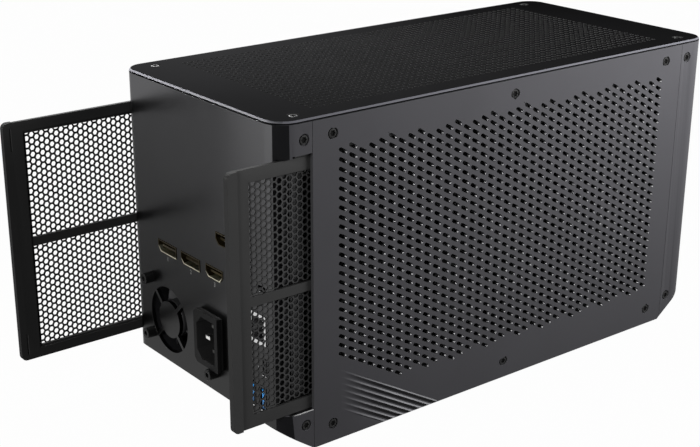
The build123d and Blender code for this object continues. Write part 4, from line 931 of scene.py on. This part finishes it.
def rounded_plan(inset):
    """The outline of the cover seen from above, moved in by an inset: a quarter circle, turned to each
    corner in order, with straight sides between them."""
    turn = np.linspace(0, np.pi / 2, corner_points)
    quarter = np.stack((np.cos(turn), np.sin(turn)), 1) * (corner_radius - inset)
    middle = cover_high[:2] - corner_radius
    quarter_turn = np.array(((0, 1), (-1, 0)))
    return np.concatenate([quarter @ np.linalg.matrix_power(quarter_turn, i) + middle * signs
                           for i, signs in enumerate(corner_signs)])


def cover_patches():
    """The field of holes, a block with a screw hole at each corner, and plain blocks between them."""
    columns, rows = int(2 * field_x / hole_pitch), int(2 * field_y / hole_pitch)
    column, row = (a.ravel() for a in np.meshgrid(np.arange(columns), np.arange(rows), indexing="ij"))
    centre = np.stack((column - (columns - 1) / 2, row - (rows - 1) / 2), 1) * hole_pitch
    half = hole_pitch / 2
    cell = outline_of(((-half, -half), (half, -half), (half, half), (-half, half)), 3)
    away = cell / np.linalg.norm(cell, axis=1, keepdims=True)
    patches = [ring(centre[:, None] + away * hole_radius, centre[:, None] + cell)]
    edge_x, edge_y = cover_high[0] - chamfer, cover_high[1] - chamfer
    arc = rounded_plan(chamfer)[:corner_points]
    corner = np.concatenate((outline_of(((field_x, block_y), (edge_x, block_y)), 6)[:7], arc,
                             outline_of(((field_x, edge_y), (field_x, block_y)), 10)[:10]))
    for signs in corner_signs:
        loop = (corner * signs)[::signs[0] * signs[1]]
        patches.append(round_hole(loop, cover_screw_place * signs, cover_screw_hole))
    for x0, x1, y0, y1 in ((field_x, edge_x, -block_y, block_y), (-edge_x, -field_x, -block_y, block_y),
                           (-field_x, field_x, field_y, edge_y), (-field_x, field_x, -edge_y, -field_y)):
        patches.append((np.array(((x0, y0), (x1, y0), (x1, y1), (x0, y1))), square, no_rims))
    return patches


top, bottom = cover_high[2], cover_low[2]
flat_points, cover_faces, cover_marks = through(cover_patches(), top - bottom)
cover_points = flat_points * (1, 1, -1) + (0, 0, top)
add_piece("cover_sheet", cover_points, cover_faces, [black_anodised, punched_wall], "enclosure",
          ["top_cover"], finish=cover_marks)
edge_rows = ((chamfer, top), (0.0, top - chamfer), (0.0, bottom), (chamfer, bottom))
around = 4 * corner_points
edge_points = np.concatenate([np.column_stack((rounded_plan(inset), np.full(around, z)))
                              for inset, z in edge_rows])
edge_faces = grid_faces(len(edge_rows), around)
# The chamfer over the socket end gets the painted shade.
over_sockets = edge_points[edge_faces[:, 0], 0] < cover_low[0] + 5.0
edge_marks = np.where(np.arange(len(edge_faces)) < around, 1 + over_sockets, 0)
add_piece("cover_edge", edge_points, edge_faces, [black_anodised, chamfer_metal, chamfer_painted_shade], "enclosure",
          finish=edge_marks)


# Socket numbers. Small pale figures printed on the port end, one below each of the three lower display
# sockets and one over the upper one, so that the screens can be told apart.
print_white = coated("print_white", (0.55, 0.55, 0.55), (0.5, 0.5, 0.5), 0.0, 0.6, wear_and_highlight=0.0)
figure_size, ink_thickness = 3.2, 0.03


def add_figure(number, y, z):
    """One printed figure, flat on the port end and read from outside."""
    letters = bpy.data.curves.new(f"figure_{number}", "FONT")
    letters.body = str(number)
    letters.size = figure_size
    letters.align_x = "CENTER"
    letters.align_y = "CENTER"
    holder = new_object(f"figure_{number}_curve", letters)
    bpy.context.view_layer.update()
    mesh = bpy.data.meshes.new_from_object(holder.evaluated_get(bpy.context.evaluated_depsgraph_get()))
    bpy.data.objects.remove(holder)
    flat = points_of(mesh)
    depth = np.full(len(flat), socket_face - ink_thickness)
    placed = np.stack((depth, y - flat[:, 0], z + flat[:, 1]), 1) * MM
    mesh.vertices.foreach_set("co", placed.ravel())
    mesh.materials.clear()
    mesh.materials.append(print_white)
    mesh.update()
    piece = new_object(f"figure_{number}", mesh)
    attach(piece, "enclosure")


for number, y, z in ((1, 30.9, 77.3), (2, 8.35, 77.3), (3, -14.0, 77.6), (4, -25.3, 110.6)):
    add_figure(number, y, z)
